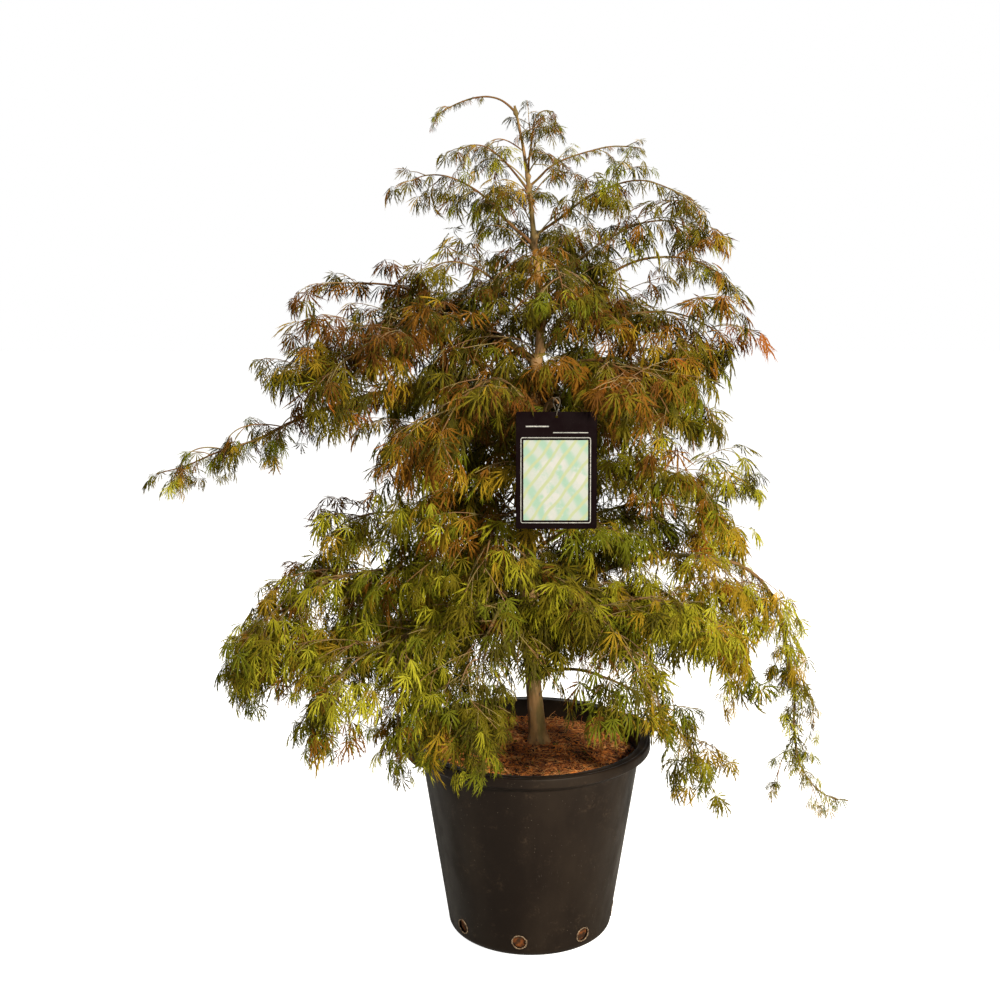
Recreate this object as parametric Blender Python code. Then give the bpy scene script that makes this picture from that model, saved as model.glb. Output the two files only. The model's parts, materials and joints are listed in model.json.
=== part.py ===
"""A laceleaf maple in a round black nursery pot, with a printed card hung on one bough.

Metres, +Z up, the origin on the floor under the centre of the pot. -Y is the front.
Every limb is one arching curve from the trunk. Its first share is a bough, and the rest is
the stem of a mass of foliage, which grows side twigs and cut leaves by one seeded rule.
"""

import math
import random
from functools import partial
from typing import NamedTuple

import bmesh
import bpy
from mathutils import Matrix, Vector
from mathutils.bvhtree import BVHTree

GAP = 0.0003  # left between solids that touch on the real plant
SEED = 3

# Pot
POT_HEIGHT = 0.405
POT_SIDES = 36
RIM_RADIUS = 0.250
RIM_BAND = 0.020
RIM_ROOT = 0.036  # depth below the top edge at which the lip's sloping underside meets the wall
RIM_ROUND = 0.003
WALL_TOP_RADIUS = 0.229
WALL_BASE_RADIUS = 0.168
WALL = 0.004
BASE_EDGE = 0.018  # radius of the rounded edge round the base
LUG_REACH = 0.016
LUG_ANGLE = 20.0  # degrees from +X; the second lug is opposite
LUG_HALF_WIDTH = 13.5  # degrees to each side
SLOT_INNER = 0.2415  # the finger slot through each lug, measured from the pot's axis
SLOT_OUTER = 0.2535
SLOT_HALF_WIDTH = 8.5  # degrees, as the lug's
SLOT_STEPS = 4
DRAIN_COUNT = 8
DRAIN_RADIUS = 0.0135
DRAIN_HEIGHT = 0.035
DRAIN_TURN = -98.0

# Root ball
SOIL_EDGE = 0.366
SOIL_TOP = 0.378
SOIL_FLAT_RADIUS = 0.055  # the level patch that the trunk stands on
SOIL_RINGS = 3  # steps of the dome from its edge to the level patch

# Trunk: height, x, y and radius, from the foot to the tip
TRUNK_STATIONS = (
    (0.3783, 0.018, 0.030, 0.0250),
    (0.400, 0.016, 0.030, 0.0185),
    (0.450, 0.012, 0.029, 0.0165),
    (0.600, 0.000, 0.024, 0.0150),
    (0.780, -0.008, 0.018, 0.0132),
    (1.000, -0.002, 0.012, 0.0108),
    (1.260, 0.018, 0.006, 0.0080),
    (1.450, 0.004, 0.002, 0.0055),
    (1.600, -0.014, 0.000, 0.0032),
    (1.700, -0.034, -0.002, 0.0022),
)
TRUNK_SIDES = 9
TRUNK_STEP = 0.060
FLARE_RINGS = (0.0, 0.008, 0.022)  # heights of the rings round the root flare, above the soil

# Limbs
LIMB_SIDES = 5
LIMB_RINGS = 5
LIMB_TIP_RADIUS = 0.0020
LIMB_TAPER = 0.8
ARCH_HANDLE = 0.38  # each Bezier handle as a share of the straight line from foot to tip
TRAIL_HANDLES = (0.45, 0.35)  # the same for a hanging end
COLLAR = 1.35  # how much a bough swells where it leaves the trunk
PATH_STEPS = 40

# Foliage
TWIG_SIDES = 3
TWIG_BEND = 0.11  # a longer twig than this has a bend
TWIG_RADIUS = 0.0028
TWIG_TIP_RADIUS = 0.0017
TWIG_SPACING = 0.075
TWIG_SAG = 0.45
TWIG_WANDER = ((-0.12, 0.12), (-0.12, 0.12), (-0.05, 0.08))  # along X, Y and Z
TWIG_SHORTEST = 0.035
TWIG_AHEAD = 0.7  # how far a twig leans along its stem, against how far it leans aside and up
TWIG_ASIDE = (0.75, 1.05)
TWIG_LIFT = (-0.10, 0.35)
TWIG_VARIES = (0.85, 1.1)
TWIG_CUTS = (1.0, 0.72, 0.5)  # lengths tried, as shares of the one wanted
STEM_RINGS = 5
STEM_RUN = 20
STEM_NO_TWIG = 0.04  # a stem on the trunk carries nothing this near to it
STEM_NO_LEAF = 0.05
LEAF_SPACING = 0.064
LEAF_LENGTH = 0.150
LEAF_SPREAD = 0.120  # masses with shorter twigs than this have smaller leaves
LEAF_THICKNESS = 0.0032
LEAF_SINK = 0.0005  # how far past a twig's axis a leaf's root lies
LEAF_RIDGE = 0.13  # where a leaf is thickest, as a share of its length
LEAF_DROOP = 0.75
LEAF_SWAY = 0.8  # how far a leaf turns aside, against how far it hangs
LEAF_SHAKE = 0.25
LEAF_VARIES = (0.82, 1.12)
LEAF_LAST = 0.97  # a tip leaf is rooted a little before its twig's end
TWIG_NO_LEAF = 0.10
LEAF_APART = 0.26  # least distance between the middles of two leaves, in leaf lengths
LEAF_TRIES = 6
CLEARANCE = 0.003  # kept between foliage and everything that it isn't fused to
SPACE_HANG = 0.045  # the leaves hang this far below their stem
SPACE_OVERLAP = 1.12  # how far a leaf may reach past the middle between two stems
SPACE_STEPS = 12
BRONZE_FROM = 1.1  # masses that leave the trunk above this height are bronze

# Card
CARD_WIDTH = 0.148
CARD_HEIGHT = 0.215
CARD_THICKNESS = 0.0012
CARD_CORNER = 0.004
CARD_HOLE_RADIUS = 0.003
CARD_HOLE_DROP = 0.009  # from the top edge to the hole's centre
CARD_FRONT = 0.335  # distance in front of the trunk at which the card hangs
CARD_TILT = -4.0  # degrees, its foot swung forward
CARD_SIDE_ROOM = 0.008  # nothing grows this near to the card's sides,
CARD_LOW_ROOM = 0.045  # this far under its tie,
CARD_HIGH_ROOM = 0.015
CARD_DEEP_ROOM = 0.035  # or this near behind it
TIE_RADIUS = 0.0009
TIE_WIDTH = 0.0085  # half width of the loop where it crosses the bough
TIE_DEPTH = 0.0060
TIE_LENGTH = 0.034
TIE_POINTS = 18


class Limb(NamedTuple):
    foot: float  # height on the trunk
    azimuth: float  # degrees, 0 to the right, 90 to the back, 270 to the front
    reach: float  # level distance from the trunk's axis to the tip
    tip: float  # height of the tip
    rise: float  # degrees above level at the trunk
    fall: float  # degrees below level at the tip
    bough: float  # share of the curve that is a bare bough, 0 where the stem meets the trunk
    spread: float  # length of the longest side twigs
    radius: float  # at the trunk
    trail: tuple = ()  # a hanging end: how far out and down it goes on


LIMBS = {
    # top
    "top_arch": Limb(1.685, 182, 0.155, 1.680, 52, 40, 0.0, 0.065, 0.0020),
    "top_right": Limb(1.560, 12, 0.050, 1.690, 76, 20, 0.0, 0.075, 0.0024),
    "top_left": Limb(1.530, 205, 0.150, 1.610, 50, 35, 0.0, 0.090, 0.0026),
    "stray_right": Limb(1.540, 8, 0.230, 1.620, 42, 5, 0.0, 0.065, 0.0022),
    "high_right": Limb(1.440, 345, 0.290, 1.525, 42, 35, 0.0, 0.105, 0.0030),
    "high_left": Limb(1.420, 178, 0.245, 1.550, 46, 30, 0.0, 0.100, 0.0032),
    "high_back": Limb(1.370, 92, 0.260, 1.420, 38, 42, 0.0, 0.120, 0.0032),
    "upper_right": Limb(1.330, 14, 0.340, 1.440, 38, 42, 0.0, 0.120, 0.0036),
    "upper_front": Limb(1.330, 280, 0.230, 1.350, 38, 45, 0.0, 0.110, 0.0032),
    "upper_left": Limb(1.280, 194, 0.240, 1.370, 36, 40, 0.0, 0.110, 0.0032),
    # middle
    "arched_right": Limb(1.265, 354, 0.385, 1.345, 50, 50, 0.55, 0.080, 0.0044),
    "middle_left_high": Limb(1.180, 173, 0.450, 1.340, 40, 8, 0.25, 0.110, 0.0056),
    "middle_left": Limb(1.190, 200, 0.450, 1.170, 34, 40, 0.0, 0.150, 0.0040),
    "long_left": Limb(1.100, 184, 0.765, 0.965, 24, 16, 0.30, 0.080, 0.0070),
    "middle_left_low": Limb(0.985, 212, 0.310, 0.990, 32, 40, 0.0, 0.135, 0.0040),
    "middle_front_left": Limb(1.120, 240, 0.360, 1.080, 34, 50, 0.20, 0.150, 0.0050),
    "card_bough": Limb(1.020, 277, 0.460, 1.118, 31, 28, 0.80, 0.110, 0.0050),
    "middle_front_right": Limb(1.150, 312, 0.360, 1.120, 34, 48, 0.0, 0.150, 0.0040),
    "middle_right_high": Limb(1.210, 348, 0.370, 1.240, 38, 42, 0.0, 0.130, 0.0040),
    "middle_right": Limb(1.070, 352, 0.345, 1.110, 38, 45, 0.20, 0.150, 0.0060),
    "middle_right_low": Limb(0.900, 344, 0.370, 0.930, 36, 45, 0.0, 0.135, 0.0040),
    "middle_back_right": Limb(1.110, 48, 0.400, 1.100, 30, 50, 0.20, 0.165, 0.0050),
    "middle_back": Limb(0.960, 95, 0.460, 1.000, 30, 52, 0.24, 0.170, 0.0056),
    "middle_back_left": Limb(1.060, 126, 0.440, 1.060, 30, 50, 0.22, 0.170, 0.0054),
    # low
    "low_middle": Limb(0.850, 255, 0.330, 0.830, 34, 50, 0.0, 0.150, 0.0040),
    "low_left_high": Limb(0.730, 180, 0.400, 0.830, 42, 42, 0.23, 0.140, 0.0054),
    "low_left": Limb(0.665, 186, 0.570, 0.600, 42, 62, 0.25, 0.160, 0.0070),
    "low_front_left": Limb(0.590, 214, 0.500, 0.540, 40, 56, 0.24, 0.160, 0.0064),
    "low_front": Limb(0.680, 252, 0.380, 0.590, 34, 58, 0.20, 0.165, 0.0062),
    "low_front_right": Limb(0.650, 300, 0.420, 0.620, 36, 50, 0.0, 0.150, 0.0042),
    "right_shoulder": Limb(0.780, 14, 0.440, 0.820, 36, 40, 0.0, 0.135, 0.0042),
    "low_right": Limb(0.610, 338, 0.440, 0.640, 38, 50, 0.22, 0.150, 0.0064),
    "far_right": Limb(0.690, 355, 0.525, 0.665, 30, 76, 0.25, 0.105, 0.0056, (0.143, -0.389)),
    "hanging_right": Limb(0.520, 328, 0.392, 0.378, 32, 70, 0.0, 0.100, 0.0040),
    "low_back_left": Limb(0.610, 142, 0.480, 0.560, 32, 58, 0.22, 0.180, 0.0066),
    "low_back": Limb(0.660, 92, 0.460, 0.580, 32, 58, 0.22, 0.180, 0.0066),
    "low_back_right": Limb(0.560, 46, 0.480, 0.540, 34, 58, 0.22, 0.170, 0.0064),
}


# Shared tools

def clear_scene():
    for thing in list(bpy.data.objects):
        bpy.data.objects.remove(thing)


def material(name, colour, roughness, metallic=0.0):
    made = bpy.data.materials.new(name)
    made.use_nodes = True
    shader = made.node_tree.nodes["Principled BSDF"]
    shader.inputs["Base Color"].default_value = (*colour, 1.0)
    shader.inputs["Roughness"].default_value = roughness
    shader.inputs["Metallic"].default_value = metallic
    return made


def object_from(name, points, faces, finish=None, collection=None):
    mesh = bpy.data.meshes.new(name)
    mesh.from_pydata([tuple(p) for p in points], [], faces)
    mesh.update()
    if finish:
        mesh.materials.append(finish)
    made = bpy.data.objects.new(name, mesh)
    (collection or bpy.context.scene.collection).objects.link(made)
    return made


def as_cutter(thing):
    thing.hide_render = True
    thing.display_type = "WIRE"
    return thing


def boolean(thing, operation, other=None, collection=None):
    cut = thing.modifiers.new(operation.lower(), "BOOLEAN")
    cut.operation = operation
    cut.solver = "EXACT"
    if collection:
        cut.operand_type = "COLLECTION"
        cut.collection = collection
    else:
        cut.object = other


def apply_modifiers(thing):
    bpy.context.view_layer.update()
    graph = bpy.context.evaluated_depsgraph_get()
    mesh = bpy.data.meshes.new_from_object(thing.evaluated_get(graph))
    thing.modifiers.clear()
    thing.data = mesh


def shade_round(thing, angle):
    thing.data.shade_smooth()
    thing.data.set_sharp_from_angle(angle=math.radians(angle))


def keep_largest(thing):
    """Drops loose scraps: only the largest shell stays."""
    work = bmesh.new()
    work.from_mesh(thing.data)
    left, largest = set(work.verts), set()
    while left:
        shell, edge = set(), [next(iter(left))]
        while edge:
            vert = edge.pop()
            if vert not in shell:
                shell.add(vert)
                edge += [e.other_vert(vert) for e in vert.link_edges]
        largest = max(largest, shell, key=len)
        left -= shell
    bmesh.ops.delete(work, geom=[v for v in work.verts if v not in largest], context="VERTS")
    work.to_mesh(thing.data)
    work.free()


def tube(path, radii, sides):
    """Points and faces of a closed tapering tube along a list of points."""
    points, faces = [], []
    normal = None
    for i, centre in enumerate(path):
        heading = (path[min(i + 1, len(path) - 1)] - path[max(i - 1, 0)]).normalized()
        if normal is None:
            guide = Vector((0, 0, 1)) if abs(heading.z) < 0.9 else Vector((1, 0, 0))
            normal = heading.cross(guide)
        normal = (normal - heading * normal.dot(heading)).normalized()
        across = heading.cross(normal)
        for side in range(sides):
            angle = 2 * math.pi * side / sides
            points.append(centre + (normal * math.cos(angle) + across * math.sin(angle)) * radii[i])
    for low in range(0, (len(path) - 1) * sides, sides):
        for side in range(sides):
            after = (side + 1) % sides
            faces.append((low + side, low + after, low + sides + after, low + sides + side))
    faces.append(tuple(reversed(range(sides))))
    faces.append(tuple(range((len(path) - 1) * sides, len(path) * sides)))
    return points, faces


def lathe(name, profile, sides, finish, swell=None):
    """Turns (radius, height) points that start and end on the axis.

    swell(angle, radius, height) widens it.
    """
    rings = profile[1:-1]
    points = [Vector((0.0, 0.0, profile[0][1]))]
    for radius, height in rings:
        for side in range(sides):
            angle = 2 * math.pi * side / sides
            wide = radius + (swell(angle, radius, height) if swell else 0.0)
            points.append(Vector((wide * math.cos(angle), wide * math.sin(angle), height)))
    points.append(Vector((0.0, 0.0, profile[-1][1])))
    top = 1 + (len(rings) - 1) * sides
    faces = []
    for side in range(sides):
        after = (side + 1) % sides
        faces.append((0, 1 + after, 1 + side))
        for low in range(1, top, sides):
            faces.append((low + side, low + after, low + sides + after, low + sides + side))
        faces.append((top + side, top + after, len(points) - 1))
    return object_from(name, points, faces, finish)


# Pot and root ball

def wall_radius(height):
    """Outside of the tapering wall."""
    return WALL_BASE_RADIUS + (WALL_TOP_RADIUS - WALL_BASE_RADIUS) * height / (POT_HEIGHT - RIM_BAND)


def lug_swell(angle, radius, height):
    """Widens the lip at the two lifting lugs."""
    if radius < RIM_RADIUS - 2 * RIM_ROUND or height < POT_HEIGHT - RIM_ROOT:
        return 0.0
    off = (math.degrees(angle) - LUG_ANGLE + 90.0) % 180.0 - 90.0
    edge = (LUG_HALF_WIDTH - abs(off)) / (360.0 / POT_SIDES)
    return LUG_REACH * min(max(edge, 0.0), 1.0)


def slot_shape(middle):
    """A curved block that cuts one finger slot down through a lug."""
    offsets = [SLOT_HALF_WIDTH * (2 * i / SLOT_STEPS - 1) for i in range(SLOT_STEPS + 1)]
    turns = [math.radians(middle + offset) for offset in offsets]
    outline = [(SLOT_INNER, turn) for turn in reversed(turns)]
    outline += [(SLOT_OUTER, turn) for turn in turns]
    count = len(outline)
    points = []
    for height in (POT_HEIGHT - 2 * RIM_ROOT, POT_HEIGHT + RIM_ROOT):
        for radius, turn in outline:
            points.append(Vector((radius * math.cos(turn), radius * math.sin(turn), height)))
    faces = [tuple(reversed(range(count))), tuple(range(count, 2 * count))]
    faces += [(i, (i + 1) % count, (i + 1) % count + count, i + count) for i in range(count)]
    return points, faces


def make_pot(finish):
    centre = wall_radius(BASE_EDGE) - BASE_EDGE
    inner = wall_radius(POT_HEIGHT) - WALL
    profile = [(0.0, 0.0)]
    for bend in (-90, -60, -30, 0):
        a = math.radians(bend)
        profile.append((centre + BASE_EDGE * math.cos(a), BASE_EDGE + BASE_EDGE * math.sin(a)))
    for height in (DRAIN_HEIGHT + 2 * DRAIN_RADIUS, 0.5 * POT_HEIGHT, POT_HEIGHT - RIM_ROOT):
        profile.append((wall_radius(height), height))
    profile += [
        (RIM_RADIUS - RIM_ROUND, POT_HEIGHT - RIM_BAND),
        (RIM_RADIUS, POT_HEIGHT - RIM_BAND + RIM_ROUND),
        (RIM_RADIUS, POT_HEIGHT - RIM_ROUND),
        (RIM_RADIUS - RIM_ROUND, POT_HEIGHT),
        (inner, POT_HEIGHT),
        (wall_radius(BASE_EDGE) - WALL, BASE_EDGE),
        (centre, WALL),
        (0.0, WALL),
    ]
    pot = lathe("pot", profile, POT_SIDES, finish, lug_swell)
    cutters = bpy.data.collections.new("pot_cutters")
    for hole in range(DRAIN_COUNT):
        angle = math.radians(DRAIN_TURN + 360.0 * hole / DRAIN_COUNT)
        outward = Vector((math.cos(angle), math.sin(angle), 0.0))
        middle = outward * (wall_radius(DRAIN_HEIGHT) - WALL / 2) + Vector((0, 0, DRAIN_HEIGHT))
        ends = [middle - outward * 5 * WALL, middle + outward * 5 * WALL]
        as_cutter(object_from(f"drain_drill_{hole}", *tube(ends, [DRAIN_RADIUS] * 2, 8), None, cutters))
    for lug in (0, 1):
        as_cutter(object_from(f"slot_cutter_{lug}", *slot_shape(LUG_ANGLE + 180 * lug), None, cutters))
    boolean(pot, "DIFFERENCE", collection=cutters)
    apply_modifiers(pot)
    for cutter in list(cutters.objects):
        bpy.data.objects.remove(cutter)
    shade_round(pot, 40)
    return pot


def make_soil(finish):
    floor = WALL + GAP
    inner = wall_radius(BASE_EDGE) - WALL - GAP
    top_inner = wall_radius(POT_HEIGHT) - WALL - GAP
    edge = inner + (top_inner - inner) * (SOIL_EDGE - BASE_EDGE) / (POT_HEIGHT - BASE_EDGE)
    flat = wall_radius(BASE_EDGE) - BASE_EDGE - GAP
    profile = [(0.0, floor), (flat, floor), (inner, BASE_EDGE)]
    for ring in range(SOIL_RINGS + 1):
        share = ring / SOIL_RINGS
        height = SOIL_EDGE + (SOIL_TOP - SOIL_EDGE) * math.sin(math.pi / 2 * share)
        profile.append((edge + (SOIL_FLAT_RADIUS - edge) * share, height))
    profile.append((0.0, SOIL_TOP))
    soil = lathe("soil", profile, POT_SIDES, finish)
    shade_round(soil, 30)
    return soil


# Trunk and limbs

def trunk_at(height):
    """The trunk's axis and radius at a height: a smooth curve through the stations."""
    heights = [row[0] for row in TRUNK_STATIONS]
    height = min(max(height, heights[0]), heights[-1])
    low = max(i for i in range(len(heights) - 1) if heights[i] <= height)
    rows = [TRUNK_STATIONS[min(max(low + k, 0), len(heights) - 1)] for k in (-1, 0, 1, 2)]
    span = rows[2][0] - rows[1][0]
    s = (height - rows[1][0]) / span
    spot = []
    for column in (1, 2):
        a, b, c, d = (row[column] for row in rows)
        slope_in = (c - a) / (rows[2][0] - rows[0][0]) * span
        slope_out = (d - b) / (rows[3][0] - rows[1][0]) * span
        spot.append(
            (2 * s ** 3 - 3 * s ** 2 + 1) * b + (s ** 3 - 2 * s ** 2 + s) * slope_in
            + (3 * s ** 2 - 2 * s ** 3) * c + (s ** 3 - s ** 2) * slope_out
        )
    return Vector((*spot, height)), rows[1][3] + (rows[2][3] - rows[1][3]) * s


def make_trunk(name, finish, grow=0.0):
    """Level rings, so that the foot is a flat cut on the soil."""
    foot, tip = TRUNK_STATIONS[0][0], TRUNK_STATIONS[-1][0]
    heights = [foot + rise for rise in FLARE_RINGS]
    steps = round((tip - heights[-1]) / TRUNK_STEP)
    heights += [heights[-1] + (tip - heights[-1]) * (i + 1) / steps for i in range(steps)]
    points = []
    for height in heights:
        centre, radius = trunk_at(height)
        for side in range(TRUNK_SIDES):
            angle = 2 * math.pi * side / TRUNK_SIDES
            points.append(centre + Vector((math.cos(angle), math.sin(angle), 0.0)) * (radius + grow))
    top = (len(heights) - 1) * TRUNK_SIDES
    faces = [tuple(reversed(range(TRUNK_SIDES))), tuple(range(top, top + TRUNK_SIDES))]
    for low in range(0, top, TRUNK_SIDES):
        for side in range(TRUNK_SIDES):
            after = (side + 1) % TRUNK_SIDES
            above = low + TRUNK_SIDES
            faces.append((low + side, low + after, above + after, above + side))
    trunk = object_from(name, points, faces, finish)
    shade_round(trunk, 50)
    return trunk


def bezier(a, b, c, d, steps):
    found = []
    for step in range(steps + 1):
        t = step / steps
        s = 1 - t
        found.append(a * s ** 3 + b * 3 * s * s * t + c * 3 * s * t * t + d * t ** 3)
    return found


def limb_path(limb):
    """Evenly spaced points along a limb's arch, from the trunk's axis to its tip."""
    foot, _ = trunk_at(limb.foot)
    turn = math.radians(limb.azimuth)
    level = Vector((math.cos(turn), math.sin(turn), 0.0))
    up = Vector((0, 0, 1))
    tip = Vector((foot.x, foot.y, 0.0)) + level * limb.reach + up * limb.tip
    handle = (tip - foot).length * ARCH_HANDLE
    rise, fall = math.radians(limb.rise), math.radians(limb.fall)
    leave = foot + (level * math.cos(rise) + up * math.sin(rise)) * handle
    falling = level * math.cos(fall) - up * math.sin(fall)
    path = bezier(foot, leave, tip - falling * handle, tip, PATH_STEPS)
    if limb.trail:
        out, down = limb.trail
        end = tip + level * out + up * down
        reach = (end - tip).length
        near, far = (reach * share for share in TRAIL_HANDLES)
        path += bezier(tip, tip + falling * near, end - level * far, end, PATH_STEPS)[1:]
    return spaced(path, PATH_STEPS)


def spaced(path, steps):
    lengths = [0.0]
    for a, b in zip(path, path[1:]):
        lengths.append(lengths[-1] + (b - a).length)
    found, low = [], 0
    for step in range(steps + 1):
        goal = lengths[-1] * step / steps
        while low < len(path) - 2 and lengths[low + 1] < goal:
            low += 1
        share = (goal - lengths[low]) / (lengths[low + 1] - lengths[low])
        found.append(path[low].lerp(path[low + 1], min(share, 1.0)))
    return found


def along(path, share):
    """The point at a share of the path, and the direction there."""
    place = min(max(share, 0.0), 1.0) * (len(path) - 1)
    low = min(int(place), len(path) - 2)
    heading = path[min(low + 2, len(path) - 1)] - path[max(low - 1, 0)]
    return path[low].lerp(path[low + 1], place - low), heading.normalized()


def length_of(path):
    return sum((b - a).length for a, b in zip(path, path[1:]))


def limb_radius(limb, share):
    return LIMB_TIP_RADIUS + (limb.radius - LIMB_TIP_RADIUS) * (1 - share) ** LIMB_TAPER


def bough_rings(limb, path):
    """Centres and radii along the bough. Its end is square to the curve, where the stem meets it."""
    shares = [limb.bough * i / (LIMB_RINGS - 1) for i in range(LIMB_RINGS)]
    centres = [along(path, share)[0] for share in shares]
    tip, heading = along(path, limb.bough)
    centres[-2] = tip - heading * (centres[-1] - centres[-2]).length
    radii = [limb_radius(limb, share) for share in shares]
    radii[0] *= COLLAR
    return centres, radii


def make_bough(name, shape, finish, cutter):
    bough = object_from(name, *shape, finish)
    boolean(bough, "DIFFERENCE", cutter)
    apply_modifiers(bough)
    keep_largest(bough)
    shade_round(bough, 60)
    return bough


# Foliage

class Room:
    """What already stands in the air round the plant, and which stem each spot is nearest to."""

    def __init__(self, paths):
        self.solids = []
        self.stems = {}
        for name, path in paths.items():
            limb = LIMBS[name]
            spots = []
            for step in range(SPACE_STEPS + 1):
                spot, _ = along(path, limb.bough + (1 - limb.bough) * step / SPACE_STEPS)
                spots.append(spot - Vector((0, 0, SPACE_HANG)))
            self.stems[name] = spots

    def add(self, owner, shape):
        points, faces = shape
        low = Vector(min(p[k] for p in points) for k in range(3))
        high = Vector(max(p[k] for p in points) for k in range(3))
        self.solids.append((owner, low, high, BVHTree.FromPolygons(points, faces)))

    def free(self, owner, shape, own=False):
        """True where the shape crosses nothing of another owner, or nothing of its own."""
        points, faces = shape
        low = Vector(min(p[k] for p in points) for k in range(3))
        high = Vector(max(p[k] for p in points) for k in range(3))
        tree = None
        for other, other_low, other_high, other_tree in self.solids:
            if (other == owner) != own:
                continue
            if any(low[k] > other_high[k] or high[k] < other_low[k] for k in range(3)):
                continue
            tree = tree or BVHTree.FromPolygons(points, faces)
            if tree.overlap(other_tree):
                return False
        return True

    def owns(self, owner, spot):
        apart = {
            name: min((spot - stem).length for stem in stems) / LIMBS[name].spread
            for name, stems in self.stems.items()
        }
        nearest = min(value for name, value in apart.items() if name != owner)
        return apart[owner] < nearest * SPACE_OVERLAP


def hides_card(spot, anchor):
    """The card hangs in front of the crown with nothing over its face."""
    sideways = abs(spot.x - anchor.x) < CARD_WIDTH / 2 + CARD_SIDE_ROOM
    upright = anchor.z - CARD_HEIGHT - CARD_LOW_ROOM < spot.z < anchor.z - CARD_HIGH_ROOM
    return sideways and upright and spot.y < anchor.y + CARD_DEEP_ROOM


def fatter(limb_tube, path):
    """The tube moved out by the clearance, to test the room round it."""
    points, faces = limb_tube
    grown = []
    for point in points:
        nearest = min(path, key=lambda spot: (spot - point).length)
        outward = point - nearest
        grown.append(point + outward.normalized() * CLEARANCE if outward.length > 0 else point)
    return grown, faces


def leaf_shape(root, forward, face, length, lead=-LEAF_SINK, grow=0.0):
    """A cut leaf: three long lobes, flat below and rising to a ridge near the root."""
    forward = forward.normalized()
    side = forward.cross(face).normalized()
    face = side.cross(forward)
    outline = (
        (0.00, 0.00),
        (0.52, 0.66),
        (0.13, 0.46),
        (0.00, 1.00),
        (-0.13, 0.46),
        (-0.52, 0.66),
    )
    start = root + forward * lead
    points = []
    for across, ahead in outline:
        outward = (side * across + forward * (ahead - 0.45)).normalized()
        points.append(start + (side * across + forward * ahead) * length + outward * grow)
    count = len(outline)
    points.append(start + forward * length * LEAF_RIDGE + face * (LEAF_THICKNESS + grow))
    faces = [(i, (i + 1) % count, count) for i in range(count)]
    faces.append(tuple(reversed(range(count))))
    return points, faces


def level_side(heading):
    level = Vector((heading.x, heading.y, 0.0))
    if level.length < 0.1:
        level = Vector((1.0, 0.0, 0.0))
    return level.normalized().cross(Vector((0, 0, 1)))


def twig_path(start, heading, length, rng):
    """A side twig that sets out level and bends down under its leaves."""
    points = [start]
    direction = heading.normalized()
    steps = 2 if length > TWIG_BEND else 1
    for _ in range(steps):
        wander = Vector([rng.uniform(*span) for span in TWIG_WANDER])
        direction = (direction + wander - Vector((0, 0, TWIG_SAG / steps))).normalized()
        points.append(points[-1] + direction * length / steps)
    return points


def twig_length(limb, share):
    """Short where the foliage begins, longest past its middle, short again at the tip."""
    return limb.spread * (0.40 + 0.60 * math.sin(math.pi * (0.15 + 0.75 * share)))


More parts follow.
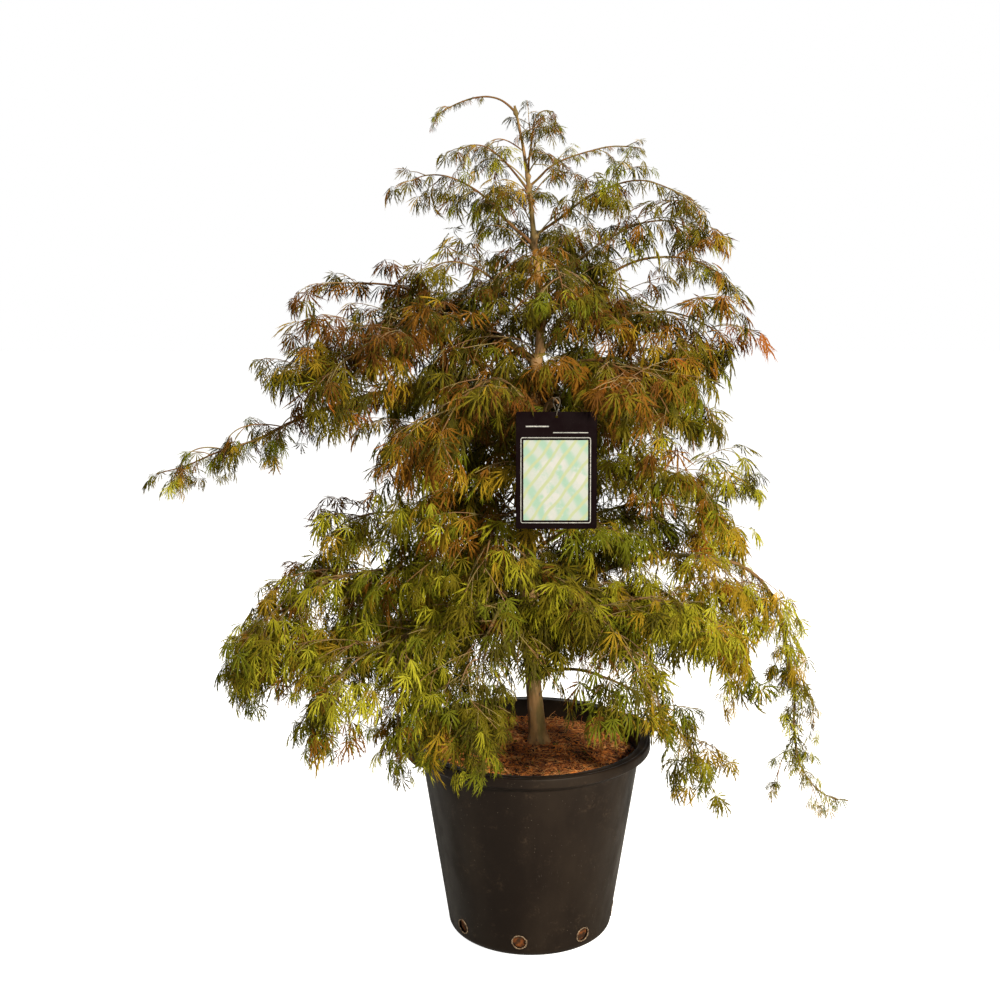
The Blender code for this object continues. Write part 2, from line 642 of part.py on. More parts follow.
class Mass:
    """A stem, side twigs turn about, and leaves, later joined into one solid."""

    def __init__(self, name, path):
        self.name = name
        self.limb = LIMBS[name]
        self.path = path
        self.rng = random.Random(f"{SEED} {name}")
        self.twigs = []
        self.leaves = []
        self.middles = []
        self.leaf_length = LEAF_LENGTH * min(1.0, self.limb.spread / LEAF_SPREAD)

    def at(self, share):
        return along(self.path, self.limb.bough + (1 - self.limb.bough) * share)

    def run(self):
        return length_of([self.at(i / STEM_RUN)[0] for i in range(STEM_RUN + 1)])

    def stem(self):
        bough = self.limb.bough
        shares = [i / STEM_RINGS for i in range(STEM_RINGS + 1)]
        spots = [self.at(share)[0] for share in shares]
        radii = [limb_radius(self.limb, bough + (1 - bough) * share) for share in shares]
        if bough:
            tip, heading = self.at(0)
            spots[0] = tip + heading * GAP
            spots[1] = tip + heading * (spots[1] - tip).length
        return tube(spots, radii, TWIG_SIDES)

    def grow_twigs(self, room):
        run = self.run()
        count = max(2, round(run / TWIG_SPACING))
        for place in range(count):
            share = (place + 0.5) / count
            start, heading = self.at(share)
            if not self.limb.bough and run * share < STEM_NO_TWIG:
                continue
            side = level_side(heading) * (-1) ** place
            lift = Vector((0, 0, self.rng.uniform(*TWIG_LIFT)))
            aim = heading * TWIG_AHEAD + side * self.rng.uniform(*TWIG_ASIDE) + lift
            wanted = twig_length(self.limb, share) * self.rng.uniform(*TWIG_VARIES)
            for cut_back in TWIG_CUTS:
                length = wanted * cut_back
                twig = twig_path(start, aim, length, self.rng)
                if length < TWIG_SHORTEST or not room.owns(self.name, twig[-1]):
                    continue
                radii = [TWIG_RADIUS] + [TWIG_TIP_RADIUS] * (len(twig) - 1)
                shape = tube(twig, radii, TWIG_SIDES)
                if room.free(self.name, fatter(shape, twig)):
                    room.add(self.name, shape)
                    self.twigs.append((twig, shape))
                    break

    def grow_leaves(self, room, anchor):
        for twig, _ in self.twigs:
            at = partial(along, twig)
            self.leaves_along(at, length_of(twig), TWIG_NO_LEAF, room, anchor)
        run = self.run()
        self.leaves_along(self.at, run, STEM_NO_LEAF / run, room, anchor)

    def leaves_along(self, at, length, bare, room, anchor):
        """Leaves turn about along a twig, and one at its tip, each only where it has room."""
        spacing = LEAF_SPACING * self.leaf_length / LEAF_LENGTH
        count = max(1, round(length * (1 - bare) / spacing))
        for place in range(1, count + 1):
            share = bare + (1 - bare) * place / count
            root, heading = at(min(share, LEAF_LAST))
            side = level_side(heading)
            sway = 0.0 if place == count else LEAF_SWAY * (-1) ** place
            for _ in range(LEAF_TRIES):
                shake = Vector(self.rng.uniform(-LEAF_SHAKE, LEAF_SHAKE) for _ in range(3))
                forward = heading * 0.5 + side * sway - Vector((0, 0, LEAF_DROOP)) + shake
                turn = self.rng.uniform(0, 2 * math.pi)
                face = Vector((math.cos(turn), math.sin(turn), 0.4))
                size = self.leaf_length * self.rng.uniform(*LEAF_VARIES)
                if self.leaf_fits(root, forward, face, size, room, anchor):
                    break

    def leaf_fits(self, root, forward, face, size, room, anchor):
        middle = root + forward.normalized() * size * 0.5
        if any((middle - other).length < self.leaf_length * LEAF_APART for other in self.middles):
            return False
        if not room.owns(self.name, middle):
            return False
        wide = leaf_shape(root, forward, face, size, 0.0, CLEARANCE)
        if any(hides_card(spot, anchor) for spot in wide[0]):
            return False
        shape = leaf_shape(root, forward, face, size)
        bare = leaf_shape(root, forward, face, size, 2 * CLEARANCE)
        if not room.free(self.name, wide) or not room.free(self.name, bare, own=True):
            return False
        room.add(self.name, shape)
        self.leaves.append(shape)
        self.middles.append(middle)
        return True

    def build(self, finish, cutter):
        solid = object_from("foliage_" + self.name, *self.stem(), finish)
        helpers = bpy.data.collections.new(self.name + "_helpers")
        for index, shape in enumerate([shape for _, shape in self.twigs] + self.leaves):
            object_from(f"{self.name}_{index}", *shape, None, helpers)
        boolean(solid, "UNION", collection=helpers)
        if not self.limb.bough:
            boolean(solid, "DIFFERENCE", cutter)
        apply_modifiers(solid)
        for helper in list(helpers.objects):
            bpy.data.objects.remove(helper)
        keep_largest(solid)


# Card

def card_anchor():
    """The top of the card's bough where its tie hangs over it."""
    limb = LIMBS["card_bough"]
    centres, radii = bough_rings(limb, limb_path(limb))
    outward = [(centre - centres[0]).xy.length for centre in centres]
    ring = max(i for i in range(LIMB_RINGS - 1) if outward[i] <= CARD_FRONT)
    share = (CARD_FRONT - outward[ring]) / (outward[ring + 1] - outward[ring])
    radius = radii[ring] + (radii[ring + 1] - radii[ring]) * share
    return centres[ring].lerp(centres[ring + 1], share) + Vector((0, 0, radius))


def make_card(finish, anchor):
    """A flat card with round corners and a hole for its tie, facing the front."""
    outline = []
    across, corner = CARD_WIDTH / 2 - CARD_CORNER, CARD_CORNER
    low = CARD_HEIGHT - CARD_CORNER
    corners = ((across, -corner, 0), (-across, -corner, 90), (-across, -low, 180), (across, -low, 270))
    for x, z, turn in corners:
        for step in range(4):
            angle = math.radians(turn + 30 * step)
            outline.append((x + corner * math.cos(angle), z + corner * math.sin(angle)))
    count = len(outline)
    points = [Vector((x, -CARD_THICKNESS / 2, z)) for x, z in outline]
    points += [Vector((x, CARD_THICKNESS / 2, z)) for x, z in outline]
    faces = [tuple(reversed(range(count))), tuple(range(count, 2 * count))]
    faces += [(i, (i + 1) % count, (i + 1) % count + count, i + count) for i in range(count)]
    card = object_from("card", points, faces, finish)
    hole = Vector((0, 0, -CARD_HOLE_DROP))
    ends = [hole + Vector((0, y, 0)) for y in (-0.01, 0.01)]
    punch = as_cutter(object_from("card_punch", *tube(ends, [CARD_HOLE_RADIUS] * 2, 12)))
    boolean(card, "DIFFERENCE", punch)
    apply_modifiers(card)
    bpy.data.objects.remove(punch)
    # the tie's lowest point lies against the top of the hole
    top = anchor.z + 3 * GAP + 2 * TIE_RADIUS - TIE_LENGTH + CARD_HOLE_DROP - CARD_HOLE_RADIUS
    place = Matrix.Translation(Vector((anchor.x, anchor.y, top)))
    card.data.transform(place @ Matrix.Rotation(math.radians(CARD_TILT), 4, "X"))
    return card


def make_tie(finish, anchor):
    """A closed loop of cord: through the card's hole, a quarter turn, and over the bough."""
    curve = bpy.data.curves.new("card_tie", "CURVE")
    curve.dimensions = "3D"
    line = curve.splines.new("POLY")
    line.points.add(TIE_POINTS - 1)
    line.use_cyclic_u = True
    top = anchor.z + GAP + TIE_RADIUS
    for i in range(TIE_POINTS):
        angle = 2 * math.pi * i / TIE_POINTS
        rise = (1 + math.sin(angle)) / 2
        turn = rise * rise * (3 - 2 * rise)
        width = math.cos(angle)
        line.points[i].co = (
            anchor.x + width * TIE_WIDTH * turn,
            anchor.y - width * TIE_DEPTH * (1 - turn),
            top - TIE_LENGTH * (1 - rise),
            1.0,
        )
    curve.bevel_depth = TIE_RADIUS
    curve.bevel_resolution = 1
    curve.materials.append(finish)
    tie = bpy.data.objects.new("card_tie", curve)
    bpy.context.scene.collection.objects.link(tie)
    return tie


# The whole plant

def mesh_shape(thing):
    bpy.context.view_layer.update()
    mesh = thing.evaluated_get(bpy.context.evaluated_depsgraph_get()).to_mesh()
    return [v.co.copy() for v in mesh.vertices], [tuple(p.vertices) for p in mesh.polygons]


def main():
    clear_scene()
    black = material("pot_plastic", (0.022, 0.020, 0.019), 0.55)
    earth = material("compost", (0.180, 0.080, 0.035), 0.95)
    bark = material("bark", (0.230, 0.190, 0.120), 0.85)
    green = material("leaf_green", (0.130, 0.150, 0.020), 0.60)
    bronze = material("leaf_bronze", (0.200, 0.100, 0.025), 0.60)
    card_black = material("card_black", (0.020, 0.016, 0.018), 0.35)
    cord = material("tie_cord", (0.100, 0.080, 0.060), 0.80)

    paths = {name: limb_path(limb) for name, limb in LIMBS.items()}
    room = Room(paths)
    anchor = card_anchor()
    solids = [make_pot(black), make_soil(earth), make_trunk("trunk", bark)]
    solids += [make_card(card_black, anchor), make_tie(cord, anchor)]
    for thing in solids:
        room.add(thing.name, mesh_shape(thing))
    cutter = as_cutter(make_trunk("trunk_cutter", None, GAP))
    for name, limb in LIMBS.items():
        if limb.bough:
            shape = tube(*bough_rings(limb, paths[name]), LIMB_SIDES)
            room.add("bough_" + name, shape)
            make_bough("bough_" + name, shape, bark, cutter)
    masses = [Mass(name, path) for name, path in paths.items()]
    for mass in masses:
        room.add(mass.name, mass.stem())
    for mass in masses:
        mass.grow_twigs(room)
    for mass in masses:
        mass.grow_leaves(room, anchor)
    for mass in masses:
        mass.build(bronze if mass.limb.foot > BRONZE_FROM else green, cutter)


main()
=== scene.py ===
import json
import math
import random
from collections import namedtuple

import bpy
from mathutils import Matrix, Vector, noise

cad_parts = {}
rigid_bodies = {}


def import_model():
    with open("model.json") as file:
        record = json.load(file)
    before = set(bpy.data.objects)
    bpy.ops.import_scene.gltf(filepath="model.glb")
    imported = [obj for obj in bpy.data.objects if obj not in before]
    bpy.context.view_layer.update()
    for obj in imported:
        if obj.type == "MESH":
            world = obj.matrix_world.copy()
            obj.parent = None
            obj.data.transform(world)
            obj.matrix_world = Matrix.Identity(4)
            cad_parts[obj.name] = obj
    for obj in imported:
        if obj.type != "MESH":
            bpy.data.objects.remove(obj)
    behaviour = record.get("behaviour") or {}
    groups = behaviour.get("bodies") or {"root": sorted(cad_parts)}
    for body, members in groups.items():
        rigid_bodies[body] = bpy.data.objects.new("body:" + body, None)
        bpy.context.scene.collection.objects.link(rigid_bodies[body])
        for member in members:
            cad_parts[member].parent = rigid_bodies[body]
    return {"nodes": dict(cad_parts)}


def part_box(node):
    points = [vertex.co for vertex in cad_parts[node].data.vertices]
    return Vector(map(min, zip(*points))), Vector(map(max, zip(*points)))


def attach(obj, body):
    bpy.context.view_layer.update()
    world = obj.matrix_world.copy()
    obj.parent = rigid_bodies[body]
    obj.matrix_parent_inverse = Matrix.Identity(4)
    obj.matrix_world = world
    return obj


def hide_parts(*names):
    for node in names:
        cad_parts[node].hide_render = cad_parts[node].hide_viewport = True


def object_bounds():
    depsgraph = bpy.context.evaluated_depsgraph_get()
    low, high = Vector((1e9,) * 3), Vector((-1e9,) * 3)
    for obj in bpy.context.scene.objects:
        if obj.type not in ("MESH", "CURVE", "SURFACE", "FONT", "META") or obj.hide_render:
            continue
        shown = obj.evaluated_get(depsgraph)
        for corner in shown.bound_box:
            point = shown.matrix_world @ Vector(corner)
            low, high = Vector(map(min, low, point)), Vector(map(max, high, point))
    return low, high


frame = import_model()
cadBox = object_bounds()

print("frame loaded")

up = Vector((0, 0, 1))


# camera, light and floor

studio = {
    "cameraPlace": (-0.063, -3.09, 1.52),
    "cameraPitch": 7.1,  # degrees below level
    "lens": 55.2,
    "shiftUp": -0.112,
    "floorSize": 24.0,
    "floorColour": (0.60, 0.59, 0.57),
    "floorGlow": 1.0,  # as the camera sees it; it lights nothing
    "skySeen": 1.0,
    "skyLight": 0.16,
    # name: place, aim, size, watts, colour
    "lamps": {
        "key": ((1.7, -3.25, 2.4), (0.0, 0.0, 0.8), 0.45, 300.0, (1.0, 0.915, 0.76)),
        "fill": ((-2.6, -2.6, 1.8), (0.0, 0.0, 0.9), 2.0, 10.0, (1.0, 0.97, 0.92)),
        "top": ((0.3, 0.3, 3.9), (0.0, 0.0, 0.9), 1.8, 66.0, (1.0, 0.96, 0.88)),
        "back": ((-0.8, 3.0, 2.4), (0.0, 0.0, 0.8), 2.4, 68.0, (1.0, 0.97, 0.92)),
    },
}


def makeStudio():
    scene = bpy.context.scene
    scene.view_settings.view_transform = "Standard"
    lens = bpy.data.cameras.new("camera")
    lens.lens = studio["lens"]
    lens.shift_y = studio["shiftUp"]
    camera = addObject("camera", lens)
    camera.location = studio["cameraPlace"]
    camera.rotation_euler = (math.radians(90 - studio["cameraPitch"]), 0, 0)
    scene.camera = camera
    for name, (place, aim, size, watts, colour) in studio["lamps"].items():
        light = bpy.data.lights.new(name, "AREA")
        light.size = size
        light.energy = watts
        light.color = colour
        lamp = addObject(name, light)
        lamp.location = place
        lamp.rotation_euler = (Vector(aim) - Vector(place)).to_track_quat("-Z", "Y").to_euler()
    scene.world = bpy.data.worlds.new("studio")
    scene.world.use_nodes = True
    tree = scene.world.node_tree
    glow = tree.nodes["Background"]
    glow.inputs["Color"].default_value = (1, 1, 1, 1)
    level = node(tree, "ShaderNodeMix", {2: studio["skyLight"], 3: studio["skySeen"]})
    wires(tree, (node(tree, "ShaderNodeLightPath"), "Is Camera Ray", level, 0), (level, 0, glow, "Strength"))
    half = studio["floorSize"] / 2
    corners = [(-half, -half, 0), (half, -half, 0), (half, half, 0), (-half, half, 0)]
    floor = meshObject("floor", corners, [(0, 1, 2, 3)], [makeFloorFinish()])


# shared object and node helpers

def addObject(name, data):
    made = bpy.data.objects.new(name, data)
    bpy.context.scene.collection.objects.link(made)
    return made


def meshObject(name, points, faces, materials=(), smooth=False, edges=()):
    mesh = bpy.data.meshes.new(name)
    mesh.from_pydata([tuple(p) for p in points], edges, faces)
    if smooth:
        mesh.shade_smooth()
    for material in materials:
        mesh.materials.append(material)
    return addObject(name, mesh)


def bakeModifiers(thing):
    bpy.context.view_layer.update()
    graph = bpy.context.evaluated_depsgraph_get()
    mesh = bpy.data.meshes.new_from_object(thing.evaluated_get(graph), depsgraph=graph)
    thing.modifiers.clear()
    thing.data = mesh
    keep = {"position", "sharp_face", "sharp_edge", "material_index"}
    spent = [a.name for a in mesh.attributes if not (a.name in keep or a.is_required or a.is_internal)]
    for name in spent:
        mesh.attributes.remove(mesh.attributes[name])


def joinPieces(name, parts):
    bpy.ops.object.select_all(action="DESELECT")
    for part in parts:
        part.select_set(True)
    bpy.context.view_layer.objects.active = parts[0]
    bpy.ops.object.join()
    parts[0].name = name
    parts[0].select_set(False)
    return parts[0]


def shelve(name, things):
    # takes helper shapes out of the scene, into a collection of their own
    shelf = bpy.data.collections.new(name)
    for thing in things:
        bpy.context.scene.collection.objects.unlink(thing)
        shelf.objects.link(thing)
    return shelf


def discard(shelf):
    for thing in list(shelf.objects):
        bpy.data.objects.remove(thing)


def seat(piece, slot, *nodes):
    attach(piece, "root")
    if nodes:
        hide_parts(*nodes)


def dressSolid(name, finish):
    # the solid stays as it is and takes this finish
    mesh = frame["nodes"][name].data
    mesh.materials.clear()
    mesh.materials.append(finish.material)


def socket(sockets, key):
    # by its place, or by its name among those in use
    if isinstance(key, int):
        return sockets[key]
    return next(found for found in sockets if found.name == key and found.enabled)


def node(tree, kind, values=None, **settings):
    made = tree.nodes.new(kind)
    for key, value in settings.items():
        setattr(made, key, value)
    for key, value in (values or {}).items():
        socket(made.inputs, key).default_value = value
    return made


def wires(tree, *links):
    for source, output, target, name in links:
        tree.links.new(socket(source.outputs, output), socket(target.inputs, name))


def newTree(name, inputs):
    # a geometry tree with a mesh in and out, and its own named inputs
    tree = bpy.data.node_groups.new(name, "GeometryNodeTree")
    for side in ("INPUT", "OUTPUT"):
        tree.interface.new_socket("Geometry", in_out=side, socket_type="NodeSocketGeometry")
    for label, kind in inputs.items():
        tree.interface.new_socket(label, in_out="INPUT", socket_type="NodeSocket" + kind)
    return tree, node(tree, "NodeGroupInput"), node(tree, "NodeGroupOutput")


def readAttribute(tree, name, kind):
    return node(tree, "GeometryNodeInputNamedAttribute", {"Name": name}, data_type=kind)


def runTree(thing, tree, values):
    modifier = thing.modifiers.new(tree.name, "NODES")
    modifier.node_group = tree
    for entry in tree.interface.items_tree:
        if entry.in_out == "INPUT" and entry.name in values:
            modifier[entry.identifier] = values[entry.name]
    bakeModifiers(thing)


# shader groups that several finishes share

def newShaderGroup(name, values, output):
    # reads a vector and the named numbers
    tree = bpy.data.node_groups.new(name, "ShaderNodeTree")
    tree.interface.new_socket("Vector", in_out="INPUT", socket_type="NodeSocketVector")
    for label, value in values.items():
        made = tree.interface.new_socket(label, in_out="INPUT", socket_type="NodeSocketFloat")
        made.default_value = value
    tree.interface.new_socket(output, in_out="OUTPUT", socket_type="NodeSocketFloat")
    return tree, node(tree, "NodeGroupInput"), node(tree, "NodeGroupOutput")


def maskBetween(tree, source, texture, result):
    # 0 where the texture is below Low, 1 above High, and soft between
    ramp = node(tree, "ShaderNodeMapRange", interpolation_type="SMOOTHSTEP")
    wires(tree, (source, "Low", ramp, "From Min"), (source, "High", ramp, "From Max"))
    wires(tree, (texture, "Fac", ramp, "Value"), (ramp, "Result", result, "Mask"))


def makePatchGroup():
    # soft uneven patches
    tree, source, result = newShaderGroup("patches", {"Scale": 10.0, "Low": 0.4, "High": 0.6}, "Mask")
    cloud = node(tree, "ShaderNodeTexNoise", {"Detail": 5.0, "Roughness": 0.6})
    wires(tree, (source, "Vector", cloud, "Vector"), (source, "Scale", cloud, "Scale"))
    maskBetween(tree, source, cloud, result)
    return tree


def makeBandGroup():
    # soft wavy bands, turned in the upright plane that faces the front
    values = {"Scale": 20.0, "Low": 0.4, "High": 0.6, "Turn": 0.0}
    tree, source, result = newShaderGroup("bands", values, "Mask")
    angle = node(tree, "ShaderNodeMath", operation="RADIANS")
    turn = node(tree, "ShaderNodeVectorRotate", rotation_type="Y_AXIS")
    waves = node(tree, "ShaderNodeTexWave", {"Distortion": 3.0, "Detail": 1.0}, bands_direction="X")
    wires(tree, (source, "Turn", angle, 0), (angle, 0, turn, "Angle"), (source, "Vector", turn, "Vector"))
    wires(tree, (turn, 0, waves, "Vector"), (source, "Scale", waves, "Scale"))
    maskBetween(tree, source, waves, result)
    return tree


def makeSpeckGroup():
    # small round spots of uneven size
    tree, source, result = newShaderGroup("specks", {"Scale": 80.0, "Size": 0.2}, "Mask")
    cells = node(tree, "ShaderNodeTexVoronoi")
    edge = node(tree, "ShaderNodeMapRange", {"To Min": 1.0, "To Max": 0.0}, interpolation_type="SMOOTHSTEP")
    split = node(tree, "ShaderNodeSeparateColor")
    pick = node(tree, "ShaderNodeMath", {1: 0.72}, operation="GREATER_THAN")
    both = node(tree, "ShaderNodeMath", operation="MULTIPLY")
    wires(tree, (source, "Vector", cells, "Vector"), (source, "Scale", cells, "Scale"))
    wires(tree, (source, "Size", edge, "From Max"), (cells, "Distance", edge, "Value"))
    wires(tree, (cells, "Color", split, "Color"), (split, "Red", pick, 0))
    wires(tree, (edge, "Result", both, 0), (pick, 0, both, 1), (both, 0, result, "Mask"))
    return tree


def makeReliefGroup():
    # an uneven height, coarse and fine together
    values = {"Coarse": 40.0, "Fine": 300.0, "Fine Share": 0.4}
    tree, source, result = newShaderGroup("relief", values, "Height")
    mix = node(tree, "ShaderNodeMix")
    for place, label in ((2, "Coarse"), (3, "Fine")):
        cloud = node(tree, "ShaderNodeTexNoise", {"Detail": 3.0})
        wires(tree, (source, "Vector", cloud, "Vector"), (source, label, cloud, "Scale"))
        wires(tree, (cloud, "Fac", mix, place))
    wires(tree, (source, "Fine Share", mix, 0), (mix, 0, result, "Height"))
    return tree


patchGroup = makePatchGroup()
bandGroup = makeBandGroup()
speckGroup = makeSpeckGroup()
reliefGroup = makeReliefGroup()


class Finish:
    # one material: a Principled shader and short calls that build what feeds it

    def __init__(self, name, colour, roughness, metallic=0.0, specular=0.5):
        self.material = bpy.data.materials.new(name)
        self.material.use_nodes = True
        self.material.diffuse_color = (*colour, 1)
        self.tree = self.material.node_tree
        self.shader = self.tree.nodes["Principled BSDF"]
        self.put("Base Color", (*colour, 1))
        self.put("Roughness", roughness)
        self.put("Metallic", metallic)
        self.put("Specular IOR Level", specular)
        self.place = node(self.tree, "ShaderNodeTexCoord")

    def put(self, label, value):
        self.shader.inputs[label].default_value = value

    def group(self, tree, stretch, values):
        mapping = node(self.tree, "ShaderNodeMapping", {"Scale": stretch})
        made = node(self.tree, "ShaderNodeGroup", values, node_tree=tree)
        wires(self.tree, (self.place, "Object", mapping, "Vector"), (mapping, "Vector", made, "Vector"))
        return made.outputs[0]

    def patches(self, scale, low, high, stretch=(1, 1, 1)):
        return self.group(patchGroup, stretch, {"Scale": scale, "Low": low, "High": high})

    def specks(self, scale, size, stretch=(1, 1, 1)):
        return self.group(speckGroup, stretch, {"Scale": scale, "Size": size})

    def bands(self, scale, low, high, turn):
        return self.group(bandGroup, (1, 1, 1), {"Scale": scale, "Low": low, "High": high, "Turn": turn})

    def relief(self, coarse, fine, share, stretch=(1, 1, 1)):
        return self.group(reliefGroup, stretch, {"Coarse": coarse, "Fine": fine, "Fine Share": share})

    def times(self, value, factor):
        made = node(self.tree, "ShaderNodeMath", operation="MULTIPLY")
        self.tree.links.new(value, made.inputs[0])
        if isinstance(factor, float):
            made.inputs[1].default_value = factor
        else:
            self.tree.links.new(factor, made.inputs[1])
        return made.outputs[0]

    def layer(self, mask, colour, below=None):
        # the colour over what lies below, where the mask is 1
        mix = node(self.tree, "ShaderNodeMix", data_type="RGBA")
        self.tree.links.new(mask, socket(mix.inputs, "Factor"))
        if below is None:
            socket(mix.inputs, "A").default_value = self.shader.inputs["Base Color"].default_value
        else:
            self.tree.links.new(below, socket(mix.inputs, "A"))
        socket(mix.inputs, "B").default_value = (*colour, 1)
        return socket(mix.outputs, "Result")

    def paint(self, colour):
        self.tree.links.new(colour, self.shader.inputs["Base Color"])

    def rough(self, mask, low, high):
        spread = node(self.tree, "ShaderNodeMapRange", {"To Min": low, "To Max": high})
        self.tree.links.new(mask, spread.inputs["Value"])
        wires(self.tree, (spread, "Result", self.shader, "Roughness"))

    def bump(self, height, strength, distance):
        made = node(self.tree, "ShaderNodeBump", {"Strength": strength, "Distance": distance})
        self.tree.links.new(height, made.inputs["Height"])
        wires(self.tree, (made, "Normal", self.shader, "Normal"))


def makeFloorFinish():
    finish = Finish("studioFloor", studio["floorColour"], 0.7, specular=0.2)
    finish.put("Emission Color", (1, 1, 1, 1))
    seen = node(finish.tree, "ShaderNodeLightPath").outputs["Is Camera Ray"]
    glow = finish.times(seen, studio["floorGlow"])
    finish.tree.links.new(glow, finish.shader.inputs["Emission Strength"])
    finish.bump(finish.relief(30.0, 200.0, 0.3), 0.05, 0.001)
    return finish.material


makeStudio()
print("studio made")


# the trunk and the limbs, by the same rule as the solids

trunk = {
    # height, x, y, radius
    "stations": (
        (0.3783, 0.018, 0.030, 0.0250),
        (0.400, 0.016, 0.030, 0.0185),
        (0.450, 0.012, 0.029, 0.0165),
        (0.600, 0.000, 0.024, 0.0150),
        (0.780, -0.008, 0.018, 0.0132),
        (1.000, -0.002, 0.012, 0.0108),
        (1.260, 0.018, 0.006, 0.0080),
        (1.450, 0.004, 0.002, 0.0055),
        (1.600, -0.014, 0.000, 0.0032),
        (1.700, -0.034, -0.002, 0.0022),
    ),
    "sides": 40,
    "ring": 0.004,
    "sink": 0.004,  # the foot goes this far into the loose top of the soil
    "ridges": ((0.085, 2.6, 16), (0.034, 7.0, 60)),  # share of the radius, how close round it and up it
    "knot": 0.75,
    "flare": 0.10,
    "flareHeight": 0.028,
    "roots": 5,
}

Limb = namedtuple("Limb", "foot azimuth reach tip rise fall bough spread radius trail", defaults=[()])

limbs = {
    # top
    "top_arch": Limb(1.685, 182, 0.155, 1.680, 52, 40, 0.0, 0.065, 0.0020),
    "top_right": Limb(1.560, 12, 0.050, 1.690, 76, 20, 0.0, 0.075, 0.0024),
    "top_left": Limb(1.530, 205, 0.150, 1.610, 50, 35, 0.0, 0.090, 0.0026),
    "stray_right": Limb(1.540, 8, 0.230, 1.620, 42, 5, 0.0, 0.065, 0.0022),
    "high_right": Limb(1.440, 345, 0.290, 1.525, 42, 35, 0.0, 0.105, 0.0030),
    "high_left": Limb(1.420, 178, 0.245, 1.550, 46, 30, 0.0, 0.100, 0.0032),
    "high_back": Limb(1.370, 92, 0.260, 1.420, 38, 42, 0.0, 0.120, 0.0032),
    "upper_right": Limb(1.330, 14, 0.340, 1.440, 38, 42, 0.0, 0.120, 0.0036),
    "upper_front": Limb(1.330, 280, 0.230, 1.350, 38, 45, 0.0, 0.110, 0.0032),
    "upper_left": Limb(1.280, 194, 0.240, 1.370, 36, 40, 0.0, 0.110, 0.0032),
    # middle
    "arched_right": Limb(1.265, 354, 0.385, 1.345, 50, 50, 0.55, 0.080, 0.0044),
    "middle_left_high": Limb(1.180, 173, 0.450, 1.340, 40, 8, 0.25, 0.110, 0.0056),
    "middle_left": Limb(1.190, 200, 0.450, 1.170, 34, 40, 0.0, 0.150, 0.0040),
    "long_left": Limb(1.100, 184, 0.765, 0.965, 24, 16, 0.30, 0.080, 0.0070),
    "middle_left_low": Limb(0.985, 212, 0.310, 0.990, 32, 40, 0.0, 0.135, 0.0040),
    "middle_front_left": Limb(1.120, 240, 0.360, 1.080, 34, 50, 0.20, 0.150, 0.0050),
    "card_bough": Limb(1.020, 277, 0.460, 1.118, 31, 28, 0.80, 0.110, 0.0050),
    "middle_front_right": Limb(1.150, 312, 0.360, 1.120, 34, 48, 0.0, 0.150, 0.0040),
    "middle_right_high": Limb(1.210, 348, 0.370, 1.240, 38, 42, 0.0, 0.130, 0.0040),
    "middle_right": Limb(1.070, 352, 0.345, 1.110, 38, 45, 0.20, 0.150, 0.0060),
    "middle_right_low": Limb(0.900, 344, 0.370, 0.930, 36, 45, 0.0, 0.135, 0.0040),
    "middle_back_right": Limb(1.110, 48, 0.400, 1.100, 30, 50, 0.20, 0.165, 0.0050),
    "middle_back": Limb(0.960, 95, 0.460, 1.000, 30, 52, 0.24, 0.170, 0.0056),
    "middle_back_left": Limb(1.060, 126, 0.440, 1.060, 30, 50, 0.22, 0.170, 0.0054),
    # low
    "low_middle": Limb(0.850, 255, 0.330, 0.830, 34, 50, 0.0, 0.150, 0.0040),
    "low_left_high": Limb(0.730, 180, 0.400, 0.830, 42, 42, 0.23, 0.140, 0.0054),
    "low_left": Limb(0.665, 186, 0.570, 0.600, 42, 62, 0.25, 0.160, 0.0070),
    "low_front_left": Limb(0.590, 214, 0.500, 0.540, 40, 56, 0.24, 0.160, 0.0064),
    "low_front": Limb(0.680, 252, 0.380, 0.590, 34, 58, 0.20, 0.165, 0.0062),
    "low_front_right": Limb(0.650, 300, 0.420, 0.620, 36, 50, 0.0, 0.150, 0.0042),
    "right_shoulder": Limb(0.780, 14, 0.440, 0.820, 36, 40, 0.0, 0.135, 0.0042),
    "low_right": Limb(0.610, 338, 0.440, 0.640, 38, 50, 0.22, 0.150, 0.0064),
    "far_right": Limb(0.690, 355, 0.525, 0.665, 30, 76, 0.25, 0.105, 0.0056, (0.143, -0.389)),
    "hanging_right": Limb(0.520, 328, 0.392, 0.378, 32, 70, 0.0, 0.100, 0.0040),
    "low_back_left": Limb(0.610, 142, 0.480, 0.560, 32, 58, 0.22, 0.180, 0.0066),
    "low_back": Limb(0.660, 92, 0.460, 0.580, 32, 58, 0.22, 0.180, 0.0066),
    "low_back_right": Limb(0.560, 46, 0.480, 0.540, 34, 58, 0.22, 0.170, 0.0064),
}

limbShape = {
    "sides": 12,
    "ring": 0.006,
    "tipRadius": 0.0011,
    "taper": 1.15,
    "archHandle": 0.38,
    "trailHandles": (0.45, 0.35),
    "pathSteps": 40,
    "collar": 0.55,  # how far a limb swells at the trunk
    "collarReach": 0.016,
    "joint": 0.16,  # swelling where a pair of twigs leaves
    "wander": 0.007,  # small bends between the joints
    "wanderScale": 11.0,
    "wanderApart": 17.3,  # the three axes read the noise this far apart
    "wanderEase": 8,  # steps from the foot
    "ridge": 0.10,
}


